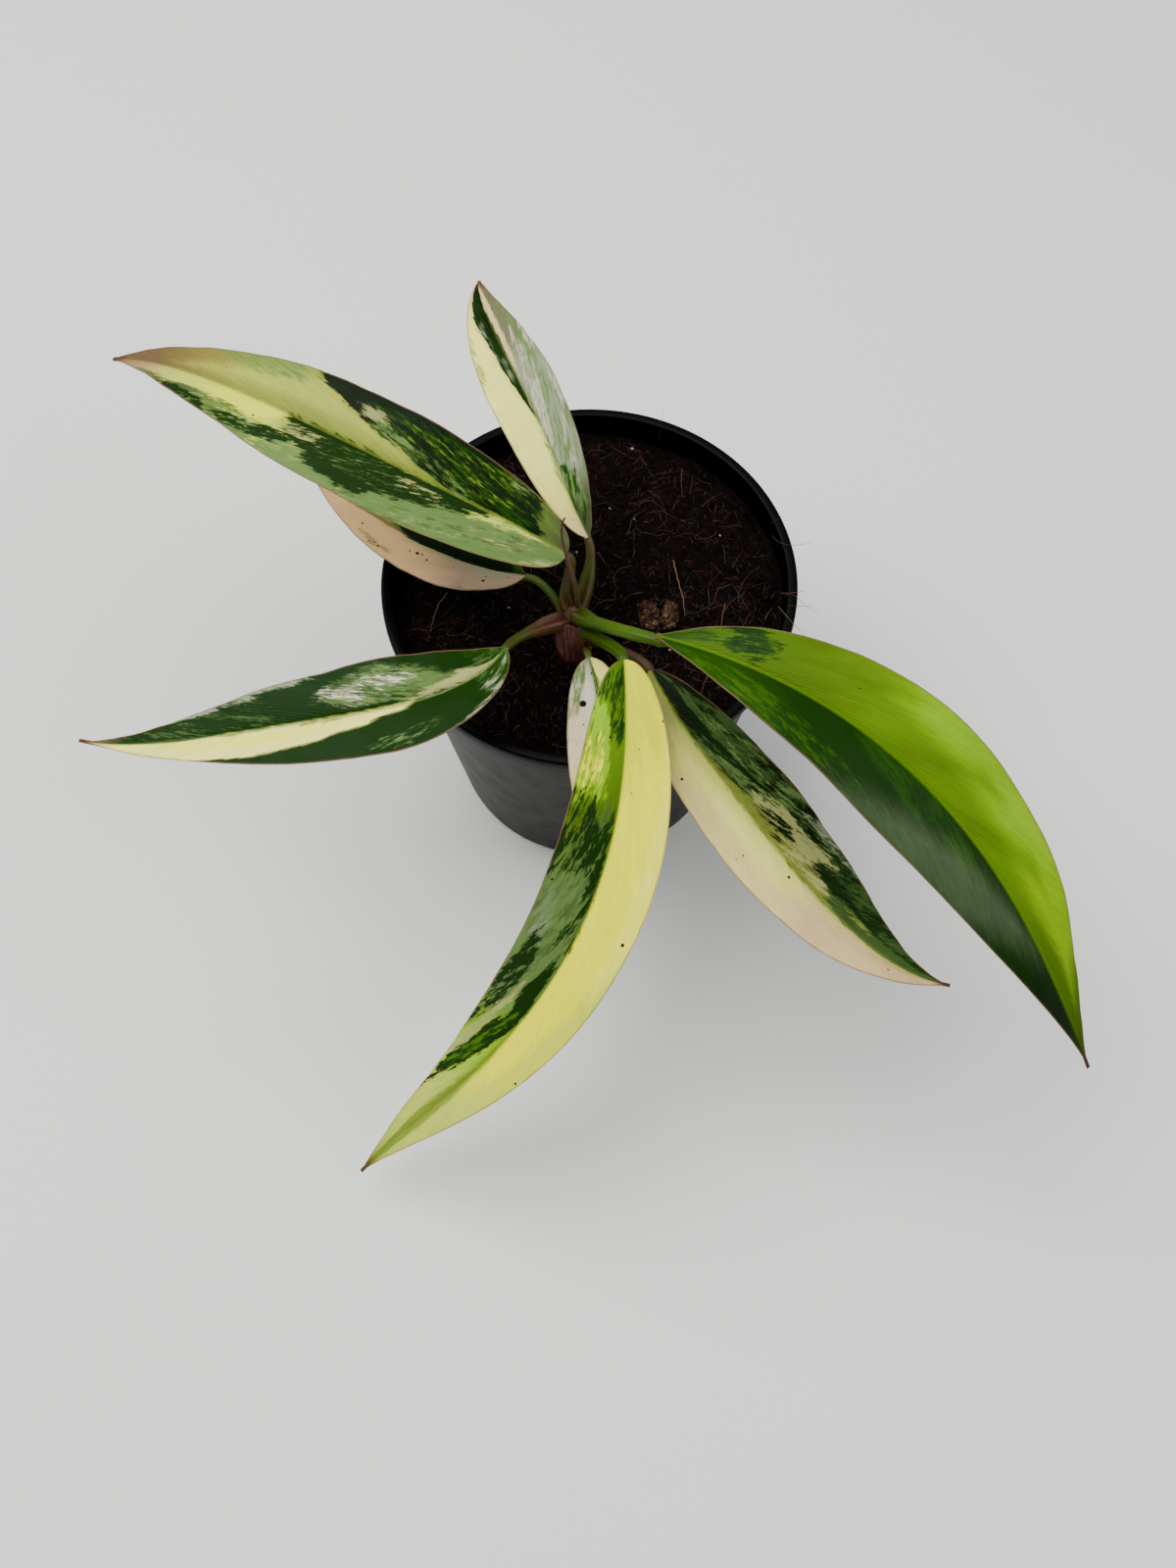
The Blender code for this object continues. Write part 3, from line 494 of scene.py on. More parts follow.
        layer("blush", ((30, 102), (34, 60), (60, 50), (90, 60), (90, 102)), soft=2, share=0.5),
        spots=((25.5, 53, 0.95), (29, 18, 0.45), (9, 9, 0.35), (36.5, 52, 0.22))),
}
SIDE_VEIN_SLOPE = 0.24       # mm outwards for each mm along
STREAK_LENGTH = 5.6          # mm
STREAK_WIDTH = 0.9
ALONG_SHRINK = 0.3           # edges of patches are drawn out along the blade by this much
VEIN_GAP = 0.8               # mm between fine side veins

# Tones of each petiole from the stem to the blade
PETIOLE_TONES = {
    "upper_left": "ring sheath_olive sheath_olive stalk_olive",
    "back": "sheath_olive stalk_olive stalk_pink",
    "small_left": "stalk_brown stalk_green stalk_pale",
    "left": "sheath_pink sheath_pink stalk_olive stalk_olive",
    "front": "stalk_olive stalk_green stalk_green",
    "front_right": "stalk_brown stalk_brown stalk_pink",
    "right": "stalk_olive stalk_green stalk_lime stalk_green",
    "small_front": "stalk_brown stalk_olive stalk_pale",
}
SHEATH_SWELL = 1.16          # the sheaths stand out this much where they clasp the stem

# Camera, from the ellipse of the rim in the photograph
CAMERA_PLACE = (-0.4 * MM, -328.7 * MM, 636.3 * MM)
CAMERA_DOWN = math.radians(63.87)
CAMERA_LENS = 50
CAMERA_SENSOR = 36

# Studio: place and size in metres, power in watts
LAMPS = {
    "key": dict(place=(-0.5, 0.15, 1.2), size=1.1, power=24, colour=(1.0, 1.0, 0.98)),
    "fill": dict(place=(0.95, -0.3, 0.95), size=1.1, power=10, colour=(0.96, 0.98, 1.0)),
}
LAMP_AIM = (0, -0.03, 0.1)
SKY_COLOUR = (0.9, 0.94, 1.0, 1)
SKY_STRENGTH = 0.25
FLOOR_HALF_WIDTH = 4


class Value:
    """A number that varies over a surface. Arithmetic on it adds Math nodes."""

    def __init__(self, skin, socket):
        self.skin = skin
        self.socket = socket

    def maths(self, operation, *numbers):
        return self.skin.node("ShaderNodeMath", dict(operation=operation), dict(enumerate(numbers)))

    def __add__(self, other):
        return self.maths("ADD", self, other)

    def __sub__(self, other):
        return self.maths("SUBTRACT", self, other)

    def __rsub__(self, other):
        return self.maths("SUBTRACT", other, self)

    def __mul__(self, other):
        return self.maths("MULTIPLY", self, other)

    def __truediv__(self, other):
        return self.maths("DIVIDE", self, other)

    def __pow__(self, other):
        return self.maths("POWER", self, other)

    def __abs__(self):
        return self.maths("ABSOLUTE", self)

    __radd__ = __add__
    __rmul__ = __mul__

    def sine(self):
        return self.maths("SINE", self)

    def smooth(self, low, high):
        """0 below low, 1 above high, and a soft step between. It falls where low is above high."""
        return self.skin.node(
            "ShaderNodeMapRange", dict(interpolation_type="SMOOTHSTEP"), {0: self, 1: low, 2: high})


class Skin:
    """A material, and the nodes that paint it."""

    def __init__(self, name, **constants):
        self.material = bpy.data.materials.new(name)
        self.material.use_nodes = True
        self.tree = self.material.node_tree
        self.shader = self.tree.nodes["Principled BSDF"]
        for socket, value in constants.items():
            self.shader.inputs[socket.replace("_", " ")].default_value = value

    def node(self, kind, settings, inputs, out=0):
        """A shader node with its settings and then its inputs, and the value of one of its outputs."""
        made = self.tree.nodes.new(kind)
        for key, value in settings.items():
            if key == "stops":
                set_stops(made.color_ramp.elements, value)
            else:
                setattr(made, key, value)
        for key, value in inputs.items():
            self.plug(made.inputs[key], value)
        return Value(self, made.outputs[out])

    def plug(self, socket, value):
        """Links a varying value to a socket, or sets the socket to a constant."""
        if isinstance(value, Value):
            self.tree.links.new(value.socket, socket)
        elif isinstance(value, tuple):
            socket.default_value = value[:len(socket.default_value)]
        else:
            socket.default_value = value

    def number(self, attribute):
        """One of the mesh's own fields."""
        return self.node("ShaderNodeAttribute", dict(attribute_name=attribute), {}, "Fac")

    def place(self):
        """The place in the object, in metres."""
        return self.node("ShaderNodeTexCoord", {}, {}, "Object")

    def parts(self, vector):
        """The three numbers of a vector."""
        split = self.node("ShaderNodeSeparateXYZ", {}, {0: vector})
        outputs = split.socket.node.outputs
        return tuple(Value(self, outputs[k]) for k in range(3))

    def vector(self, x, y, z):
        return self.node("ShaderNodeCombineXYZ", {}, {0: x, 1: y, 2: z})

    def noise(self, scale, detail=3.0, rough=0.55, where=None):
        """Soft noise about 0.5, in the object's own place if no other vector is given."""
        inputs = dict(Vector=where or self.place(), Scale=scale, Detail=detail, Roughness=rough)
        return self.node("ShaderNodeTexNoise", {}, inputs)

    def cells(self, scale):
        """How far it is to the middle of the nearest of many small cells."""
        return self.node("ShaderNodeTexVoronoi", {}, dict(Vector=self.place(), Scale=scale), "Distance")

    def ramp(self, value, tones):
        """A run of colours as value goes from 0 to 1, their names given in one string."""
        names = tones.split()
        stops = [(k / (len(names) - 1), tone(name)) for k, name in enumerate(names)]
        return self.node("ShaderNodeValToRGB", dict(stops=stops), {0: value})

    def mix(self, share, a, b):
        """The colour a where share is 0 and b where it is 1."""
        return self.node("ShaderNodeMix", dict(data_type="RGBA"), {0: share, 6: a, 7: b}, 2)

    def times(self, colour, share):
        """The colour made darker or lighter."""
        return self.node("ShaderNodeVectorMath", dict(operation="SCALE"), {0: colour, 3: share})

    def paint(self, colour, roughness=None, height=None, depth=0.1 * MM, strength=1.0):
        """Sends colour, roughness and relief to the shader, and gives the finished material."""
        self.plug(self.shader.inputs["Base Color"], colour)
        if roughness is not None:
            self.plug(self.shader.inputs["Roughness"], roughness)
        if height is not None:
            bump = self.node("ShaderNodeBump", {}, dict(Strength=strength, Distance=depth, Height=height))
            self.plug(self.shader.inputs["Normal"], bump)
        return self.material


def set_stops(elements, stops):
    """Gives a colour ramp its stops, each a place and a colour."""
    elements[0].position, elements[0].color = stops[0]
    elements[1].position, elements[1].color = stops[-1]
    for place, colour in stops[1:-1]:
        elements.new(place).color = colour


def tone(name):
    """A named colour in linear light."""
    return tuple((c / 255) ** 2.2 for c in TONES[name]) + (1.0,)


def put(name, data):
    """A new object in the scene."""
    made = bpy.data.objects.new(name, data)
    bpy.context.collection.objects.link(made)
    return made


def add_mesh(name, points, faces, skin, attributes=None, body="root", nodes=()):
    """A smooth mesh object that rides on a body. Points are in metres, attributes are fields by name."""
    mesh = bpy.data.meshes.new(name)
    mesh.from_pydata(np.asarray(points).tolist(), [], faces)
    mesh.shade_smooth()
    mesh.set_sharp_from_angle(angle=math.radians(50))
    for key, values in (attributes or {}).items():
        field = mesh.attributes.new(key, "FLOAT", "POINT")
        field.data.foreach_set("value", np.asarray(values, np.float32).ravel())
    made = put(name, mesh)
    mesh.materials.append(skin)
    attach(made, body)
    if nodes:
        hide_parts(*nodes)
    return made


def grid_faces(rows, columns, closed=False, start=0):
    """Quads of a grid of points, row by row. A closed grid joins its last column to its first."""
    wide = columns if closed else columns - 1
    faces = []
    for i in range(rows - 1):
        for j in range(wide):
            a, b = i * columns + j, i * columns + (j + 1) % columns
            faces.append((start + a, start + b, start + b + columns, start + a + columns))
    return faces


def tube_faces(rings, sides):
    """Faces of a tube of rings of points, closed flat at both ends."""
    faces = grid_faces(rings, sides, closed=True)
    faces.append(tuple(reversed(range(sides))))
    faces.append(tuple(range((rings - 1) * sides, rings * sides)))
    return faces


def sheet_faces(rows, columns):
    """Faces of a closed sheet: an upper grid, a lower grid and the edge between them."""
    upper = grid_faces(rows, columns)
    lower = rows * columns
    faces = upper + [tuple(p + lower for p in reversed(face)) for face in upper]
    edge = list(range(columns))
    edge += [i * columns + columns - 1 for i in range(1, rows)]
    edge += [(rows - 1) * columns + j for j in range(columns - 2, -1, -1)]
    edge += [i * columns for i in range(rows - 2, 0, -1)]
    for a, b in zip(edge, edge[1:] + edge[:1]):
        faces.append((b, a, a + lower, b + lower))
    return faces


def polar(radius, angle):
    """The x and y of a place at this radius and angle round the vertical."""
    return radius * math.cos(angle), radius * math.sin(angle)


def spun(x, y, turn):
    """Places turned round the vertical by an angle."""
    return x * math.cos(turn) - y * math.sin(turn), x * math.sin(turn) + y * math.cos(turn)


def turned(outline, segments, centre=(0, 0), wobble=None):
    """Points and faces of an outline of (radius, height) turned round the vertical, from axis to axis."""
    points = []
    rings = []
    for radius, height in outline:
        count = segments if radius > 0 else 1
        ring = []
        for k in range(count):
            angle = math.tau * k / segments
            x, y = polar(radius * (wobble(angle, height) if wobble else 1), angle)
            ring.append(len(points))
            points.append((centre[0] + x, centre[1] + y, height))
        rings.append(ring)
    faces = []
    for low, high in zip(rings, rings[1:]):
        for k in range(segments):
            after = k + 1
            corners = (low[k % len(low)], low[after % len(low)], high[after % len(high)], high[k % len(high)])
            faces.append(tuple(dict.fromkeys(corners)))     # a triangle where a ring is the axis itself
    return points, faces


def arc(centre, radius, start, stop, count):
    """Points of a circular arc in an outline, angles in degrees."""
    angles = np.radians(np.linspace(start, stop, count))
    return [(centre[0] + radius * math.cos(a), centre[1] + radius * math.sin(a)) for a in angles]


def through(values, u):
    """The smooth curve through values that stand at even steps of u from 0 to 1."""
    at = np.linspace(0, 1, len(values))
    total = np.zeros_like(u)
    for i, value in enumerate(values):
        term = np.full_like(u, float(value))
        for j, other in enumerate(at):
            if j != i:
                term = term * (u - other) / (at[i] - other)
        total += term
    return total


def smooth_path(knots, count):
    """The curve through places in space, as this many points."""
    fine = np.linspace(0, 1, count)
    return np.stack([through(axis, fine) for axis in np.transpose(knots)], 1)


def frames(leaf, u):
    """Unit vectors along the midrib, to its right and up, at each u."""
    heading, pitch, roll = (np.radians(through(leaf[key], u)) for key in ("heading", "pitch", "roll"))
    along = np.stack([np.cos(pitch) * np.cos(heading), np.cos(pitch) * np.sin(heading), np.sin(pitch)], 1)
    level = np.stack([np.sin(heading), -np.cos(heading), np.zeros_like(u)], 1)
    upright = np.cross(level, along)
    turn_cos, turn_sin = np.cos(roll)[:, None], np.sin(roll)[:, None]
    return along, turn_cos * level + turn_sin * upright, turn_cos * upright - turn_sin * level


def midrib(leaf, u):
    """Points of the midrib: its direction added up from the blade's base."""
    fine = np.linspace(0, 1, 161)
    along = frames(leaf, fine)[0]
    steps = (along[1:] + along[:-1]) / 2 * leaf["length"] / (len(fine) - 1)
    path = np.array(leaf["base"]) + np.vstack([np.zeros(3), np.cumsum(steps, 0)])
    return np.stack([np.interp(u, fine, path[:, k]) for k in range(3)], 1)


def half_width(leaf, u):
    """Half of the blade's width, in mm."""
    before = np.clip(u / leaf["widest"], 0, 1)
    after = np.clip((u - leaf["widest"]) / (1 - leaf["widest"]), 0, 1)
    low = (1 - (1 - before) ** 2) ** leaf["full"]
    high = (1 - after ** leaf["blunt"]) ** leaf["slim"]
    width = leaf["width"] / 2 * np.where(u < leaf["widest"], low, high)
    return np.maximum(width, np.interp(u, [0, 1], [BASE_HALF_WIDTH, TIP_HALF_WIDTH]))


def blade_surface(leaf, u, v):
    """The blade's smooth upper surface: one row for each u, one column for each v."""
    _, side, up = frames(leaf, u)
    centre = midrib(leaf, u)
    start = np.radians(np.interp(u, [0, 1], leaf["fold"]))
    turn = np.radians(np.interp(u, [0, 1], leaf["margin"])) - start
    columns = []
    for each in v:
        width = half_width(leaf, u) * (1 + np.sign(each) * leaf["bias"])
        slope = start + turn * abs(each)
        out = np.sign(each) * width * (np.sin(slope) - np.sin(start)) / turn
        rise = -width * (np.cos(slope) - np.cos(start)) / turn
        waves = math.tau * WAVES_ALONG * u + 1.2 * np.sign(each)
        rise = rise + leaf["wave"] * np.sin(waves) * np.sin(math.pi * u) * each * each
        columns.append(centre + side * out[:, None] + up * rise[:, None])
    return np.stack(columns, 1)


def surface_normals(surface):
    """Unit vectors that stand on a surface of rows and columns of points."""
    normal = np.cross(np.gradient(surface, axis=1), np.gradient(surface, axis=0))
    return normal / np.linalg.norm(normal, axis=2)[:, :, None]


def inside_by(outline, x, y):
    """How far inside a closed outline points lie. Outside it is negative."""
    nearest = np.full_like(x, np.inf)
    inside = np.zeros(x.shape, bool)
    for (ax, ay), (bx, by) in zip(outline, outline[1:] + outline[:1]):
        ex, ey = bx - ax, by - ay
        t = np.clip(((x - ax) * ex + (y - ay) * ey) / (ex * ex + ey * ey), 0, 1)
        nearest = np.minimum(nearest, np.hypot(x - ax - t * ex, y - ay - t * ey))
        if ey:
            inside ^= ((ay > y) != (by > y)) & (x < ax + (y - ay) * ex / ey)
    return np.where(inside, nearest, -nearest)


def patch_depth(leaf, patches, u, v):
    """How deep each place of a blade lies in any of the patches, in mm, with lengths drawn in."""
    stretch = (leaf["length"] * ALONG_SHRINK, leaf["width"] / 2)
    depth = np.full_like(u, -99.0)
    for patch in patches:
        outline = [(along / 100 * stretch[0], across / 100 * stretch[1]) for along, across in patch]
        depth = np.maximum(depth, inside_by(outline, u * stretch[0], v * stretch[1]))
    return depth


def make_blade(name, leaf, marks, seed):
    """The fine blade: a grooved, veined, waved sheet with a keel below, thin at its edge.

    Its skin reads where it is from fields: u, v, mm across from the midrib and in from the edge, the
    upper or under side, and its depth in each layer of markings.
    """
    rng = np.random.default_rng(seed)
    u = (1 - np.cos(np.linspace(0, math.pi, BLADE_ROWS))) / 2
    v = np.linspace(-1, 1, BLADE_COLUMNS)
    smooth = blade_surface(leaf, u, v)
    normal = surface_normals(smooth)
    width = half_width(leaf, u)[:, None]
    uu, vv = np.broadcast_arrays(u[:, None], v[None, :])
    across = vv * width
    ends = np.sin(math.pi * uu) ** 0.5
    from_end = np.minimum(uu, 1 - uu)
    relief = -GROOVE_DEPTH * (1 - 0.7 * uu) * np.exp(-(across / GROOVE_HALF_WIDTH) ** 2) * ends
    lane = np.abs(across) - SIDE_VEIN_SLOPE * leaf["length"] * uu
    veins = np.sin(math.tau * lane / VEIN_RELIEF_GAP) * ends
    relief = relief + VEIN_RELIEF * veins * np.minimum(np.abs(across), 1)
    for count in RIPPLE_COUNTS:
        phase = np.where(vv < 0, rng.uniform(0, math.tau), rng.uniform(0, math.tau))
        ripple = np.sin(math.tau * count * uu + phase + 2 * np.abs(vv))
        relief = relief + EDGE_RIPPLE / count * ripple * vv ** 2 * np.clip(from_end * 12, 0, 1)
    top = smooth + normal * relief[:, :, None]
    top[:, :, 2] = np.minimum(top[:, :, 2], BLADE_CEILING)
    thin = BLADE_THICKNESS + (EDGE_THICKNESS - BLADE_THICKNESS) * np.abs(vv) ** 4
    keel = KEEL_DEPTH * (1 - 0.8 * uu) * np.exp(-(across / (1.3 - 0.6 * uu)) ** 2)
    bottom = top - normal * (thin + keel)[:, :, None]
    edge = width - np.abs(across)
    fields = {"u": uu, "v": vv, "across": across, "edge": edge, "under": np.zeros_like(uu)}
    for k, marking in enumerate(marks["layers"]):
        depth = patch_depth(leaf, marking["patches"], uu, vv)
        fields["layer_%d" % k] = np.minimum(depth, marking["solid"])
    attributes = {key: np.concatenate([field, field]) for key, field in fields.items()}
    attributes["under"][BLADE_ROWS:] = 1
    points = np.concatenate([top.reshape(-1, 3), bottom.reshape(-1, 3)]) * MM
    skin = blade_skin(name, leaf, marks, seed)
    add_mesh("leaf_" + name, points, sheet_faces(BLADE_ROWS, BLADE_COLUMNS), skin, attributes,
             nodes=("blade_" + name,))


def blade_skin(name, leaf, marks, seed):
    """Variegated waxy skin: ground tones, ragged patches drawn out along the veins, midrib and margin."""
    skin = Skin("blade_skin_" + name, Specular_IOR_Level=0.08)
    u, v, across = skin.number("u"), skin.number("v"), skin.number("across")
    along = u * leaf["length"]
    lane = abs(across) - along * SIDE_VEIN_SLOPE
    right_side = across.smooth(-0.12, 0.12)
    seat = right_side * 5 + seed * 3.1      # sets the noise of each half of each blade apart

    def grain(length, width, shift, detail=3, rough=0.55):
        """Noise drawn out along the side veins, to this length and width in mm."""
        return skin.noise(1, detail, rough, skin.vector(along / length, lane / width, seat + shift))

    blotch = grain(18, 4.2, 40, detail=2)
    streak = grain(7, 0.5, 50)
    fleck = grain(1.8, 0.42, 60, detail=4, rough=0.6)

    # Ground tones, then the patches, each with a faint halo of its tone
    drift = u + (blotch - 0.5) * 0.12
    colour = skin.mix(right_side, skin.ramp(drift, marks["left"]), skin.ramp(drift, marks["right"]))
    for k, marking in enumerate(marks["layers"]):
        coarse = grain(STREAK_LENGTH, STREAK_WIDTH, 7 * k, detail=5, rough=0.6)
        stray = (coarse - 0.5) * 4.2 + (fleck - 0.5) * 2.2 + (blotch - 0.5) * 2.6
        depth = skin.number("layer_%d" % k) + stray * marking["ragged"]
        soft, share, paint = marking["soft"], marking["share"], tone(marking["paint"])
        colour = skin.mix(depth.smooth(-0.5 - soft, soft - 0.2) * (0.3 * share), colour, paint)
        colour = skin.mix(depth.smooth(-soft, soft) * share, colour, paint)

    # Streaks, side veins and hairs
    shade = 0.82 + streak.smooth(0.25, 0.75) * 0.12 + blotch.smooth(0.25, 0.75) * 0.09 + fleck * 0.16
    colour = skin.times(colour, shade)
    veins = (lane * (math.tau / VEIN_GAP) + (blotch - 0.5) * 9).sine()
    hair = grain(22, 0.34, 90, detail=2)
    colour = skin.times(colour, 0.94 + veins * 0.02 + hair * 0.13)

    # Midrib, reddish margin and dry tip
    rib_tone, rib_share = marks["rib"]
    rib = abs(across).smooth(0.7, 0.2) * u.smooth(1.0, 0.8)
    colour = skin.mix(rib * rib_share, colour, skin.times(tone(rib_tone), 0.8 + streak * 0.35))
    edge = skin.number("edge") + (streak - 0.5) * 0.4
    colour = skin.mix(edge.smooth(0.5, 0.12) * 0.65, colour, tone("margin"))
    colour = skin.mix((u + (streak - 0.5) * 0.01).smooth(0.955, 0.99) * 0.9, colour, tone("tip"))

    # Specks, fine dirt and the duller underside
    for spot_u, spot_v, radius in marks["spots"]:
        away = ((u - spot_u / 100) * leaf["length"]) ** 2 + ((v - spot_v / 100) * (leaf["width"] / 2)) ** 2
        spot = (away + (fleck - 0.5) * (radius ** 2)).smooth(radius ** 2 * 1.5, radius ** 2 * 0.8)
        colour = skin.mix(spot, colour, tone("speck"))
    dust = skin.cells(420).smooth(0.07, 0.03)
    dusty = skin.noise(300, detail=0).smooth(0.62, 0.66)
    colour = skin.mix(dust * dusty * 0.7, colour, tone("speck"))
    under = skin.number("under").smooth(0.3, 0.7)
    colour = skin.mix(under, colour, skin.times(skin.mix(0.45, colour, tone("sage")), 0.85))
    rough = 0.38 + streak * 0.12 + fleck * 0.06 + under * 0.12
    height = veins * 0.5 + streak * 0.7 + hair * 0.8 + fleck * 0.35
    return skin.paint(colour, rough, height, depth=0.07 * MM, strength=0.6)


def petiole_path(leaf):
    """The petiole's line from inside the stem to the blade, then on under the blade's first stretch."""
    along, _, up = (vectors[0] for vectors in frames(leaf, np.array([0.0])))
    start = np.array([*STEM, leaf["attach"]])
    end = np.array(leaf["base"]) - along * 0.5 - up * leaf["neck"] * 0.8
    reach = np.linalg.norm(end - start)
    bend, rise = math.radians(leaf["bend"]), math.radians(leaf["rise"])
    leave = np.array([math.cos(rise) * math.cos(bend), math.cos(rise) * math.sin(bend), math.sin(rise)])
    t = np.linspace(0, 1, PETIOLE_STATIONS)[:, None]
    from_start = 1 - 3 * t ** 2 + 2 * t ** 3
    path = start * from_start + end * (1 - from_start)
    path = path + leave * reach * (t - 2 * t ** 2 + t ** 3)
    path = path + along * leaf["settle"] * reach * (t ** 3 - t ** 2)
    u = np.linspace(*PETIOLE_END, PETIOLE_END_STATIONS) / leaf["length"]
    sink = leaf["neck"] * 0.8 * (1 - np.linspace(0.1, 1, PETIOLE_END_STATIONS)) + 0.75
    under = midrib(leaf, u) - frames(leaf, u)[2] * sink[:, None]
    return np.vstack([path, under])


def make_petiole(name, leaf, seed):
    """A fine petiole: a sheath open along its upper side near the stem, then a slim channelled stalk."""
    path = petiole_path(leaf)
    tangent = np.gradient(path, axis=0)
    tangent /= np.linalg.norm(tangent, axis=1)[:, None]
    side = np.cross(tangent, (0, 0, 1))
    side /= np.linalg.norm(side, axis=1)[:, None]
    up = np.cross(side, tangent)
    t = np.concatenate([np.linspace(0, 1, PETIOLE_STATIONS), np.ones(PETIOLE_END_STATIONS)])
    end = np.concatenate([np.zeros(PETIOLE_STATIONS), np.linspace(0, 1, PETIOLE_END_STATIONS)])
    x = np.clip((t - leaf["sheath"] * 0.5) / (leaf["sheath"] * 0.8), 0, 1)
    fall = x * x * (3 - 2 * x)
    root = leaf["root"] * SHEATH_SWELL
    slim = 1 - 0.15 * np.clip((t - 0.85) / 0.15, 0, 1) - 0.6 * end
    radius = (root + (leaf["neck"] - root) * fall) * slim
    angle = np.linspace(0, math.tau, PETIOLE_SIDES, endpoint=False)
    channel = np.exp(-((angle - math.pi / 2) / CHANNEL_SPREAD) ** 2)
    wings = np.exp(-((angle - WING_ANGLE) / WING_SPREAD) ** 2)
    wings = wings + np.exp(-((angle - math.pi + WING_ANGLE) / WING_SPREAD) ** 2)
    sheath = (1 - fall)[:, None]
    profile = 1 - (0.1 + 0.32 * sheath) * channel + (0.04 + 0.18 * sheath) * wings
    rng = np.random.default_rng(seed)
    ribs = 0.012 * np.sin(angle * 11 + rng.uniform(0, 6)) * sheath
    round_ripple = 0.02 * np.sin(angle * 5 + rng.uniform(0, 6))
    long_ripple = 0.015 * np.sin(t * 40 + rng.uniform(0, 6))[:, None]
    ring = radius[:, None] * profile * (1 + round_ripple + long_ripple + ribs)
    points = path[:, None, :] + side[:, None, :] * (ring * np.cos(angle))[:, :, None]
    points = points + up[:, None, :] * (ring * np.sin(angle))[:, :, None]
    shape = (len(path), PETIOLE_SIDES)
    attributes = {
        "t": np.broadcast_to(t[:, None] * 0.9 + end[:, None] * 0.1, shape),
        "wing": np.broadcast_to(np.clip(wings, 0, 1) * sheath, shape),
        "round": np.broadcast_to(np.cos(angle)[None, :], shape),
    }
    add_mesh("stalk_" + name, points.reshape(-1, 3) * MM, tube_faces(*shape), petiole_skin(name, seed),
             attributes, nodes=("petiole_" + name,))


def petiole_skin(name, seed):
    """Smooth waxy stalk: long fine streaks, small dark flecks, and pinkish dry edges on the sheath."""
    skin = Skin("petiole_skin_" + name, Specular_IOR_Level=0.22)
    t = skin.number("t")
    where = skin.vector(t * 4, skin.number("round") * 4.5, seed * 2.7)
    streak = skin.noise(2.2, detail=4, where=where)
    mottle = skin.noise(260, detail=4)
    colour = skin.ramp(t + (mottle - 0.5) * 0.3, PETIOLE_TONES[name])
    colour = skin.times(colour, 0.5 + streak * 0.62 + mottle * 0.34)
    colour = skin.mix(skin.number("wing").smooth(0.35, 0.85) * 0.7, colour, tone("sheath_edge"))
    picked = skin.noise(420).smooth(0.56, 0.62)
    flecks = skin.cells(700).smooth(0.2, 0.1) * picked
    colour = skin.mix(flecks * 0.8, colour, tone("speck"))
    return skin.paint(colour, 0.3 + mottle * 0.18, streak * 0.6 + mottle * 0.4, depth=0.12 * MM, strength=0.6)


def tube(path, radii, sides):
    """Points and faces of a round tube along a path, closed flat at both ends."""
    path = np.asarray(path, float)
    tangent = np.gradient(path, axis=0)
    tangent /= np.linalg.norm(tangent, axis=1)[:, None] + 1e-12
    across = np.cross(tangent[0], (0.3, 0.2, 1.0))
    corners = []
    for centre, along, radius in zip(path, tangent, radii):
        across = across - along * np.dot(across, along)
        across /= np.linalg.norm(across)
        second = np.cross(along, across)
        for k in range(sides):
            angle = math.tau * k / sides
            corners.append(centre + radius * (math.cos(angle) * across + math.sin(angle) * second))
    return corners, tube_faces(len(path), sides)


def make_spear():
    """The rolled next leaf: a slim ridged spear that ends in a dry curl."""
    fine = np.linspace(0, 1, SPEAR_STATIONS)
    path = smooth_path(SPEAR_POINTS, SPEAR_STATIONS)
    radii = SPEAR_RADIUS * (1 - 0.72 * fine ** 1.5) * (1 + 0.05 * np.sin(fine * 60))
    points, faces = tube(path, radii, SPEAR_SIDES)
    skin = Skin("spear_skin")
    streak = skin.noise(900, detail=3)
    drift = skin.number("t") + (streak - 0.5) * 0.2
    colour = skin.ramp(drift, "spear_olive spear_olive spear spear tip")
    material = skin.paint(skin.times(colour, 0.7 + streak * 0.6), 0.4 + streak * 0.2, streak, depth=0.08 * MM)
    add_mesh("rolled_leaf_spear", np.array(points) * MM, faces, material, {"t": np.repeat(fine, SPEAR_SIDES)},
             nodes=("leaf_spear",))


def stem_wobble(angle, height):
    """How far the stem is out of round, as a share of its radius."""
    return 1 + 0.03 * math.sin(3 * angle + height * 0.4) + 0.02 * math.sin(7 * angle - height * 0.9)


def make_stem():
    """The short stem, ringed by old leaf scars, with the sheaths' reddish seat at its top."""
    outline = [(0, STEM_FOOT), (STEM_RADIUS * 0.6, STEM_FOOT), (STEM_RADIUS, STEM_FOOT + 3)]
    shoulder = STEM_TOP - 3
    for height in np.linspace(STEM_FOOT + 6, shoulder, 70):
        slim = STEM_RADIUS - 0.2 * sum(height > node for node in STEM_NODE_HEIGHTS)
        scar = sum(0.3 * math.exp(-((height - node) / 0.5) ** 2) for node in STEM_NODE_HEIGHTS)
        outline.append((slim + scar, height))
    last = STEM_RADIUS - 0.4
    outline += [(last * math.cos(a), shoulder + 2.8 * math.sin(a)) for a in np.linspace(0.1, 1.4, 9)]
    outline.append((0, STEM_TOP))
    points, faces = turned(outline, STEM_SIDES, centre=STEM, wobble=stem_wobble)
    points = np.array(points) * MM
    skin = Skin("stem_skin")
    mottle = skin.noise(320, detail=5, rough=0.65)
    drift = (skin.number("height") + (mottle - 0.5) * 8 - STEM_BARE_FROM) / (STEM_TOP - STEM_BARE_FROM)
    colour = skin.ramp(drift, "bark stalk_brown sheath_olive ring")
    colour = skin.times(colour, 0.4 + mottle * 1.1)
    material = skin.paint(colour, 0.5 + mottle * 0.25, mottle, depth=0.3 * MM)
    add_mesh("short_stem", points, faces, material, {"height": points[:, 2] / MM},
             nodes=("stem",))


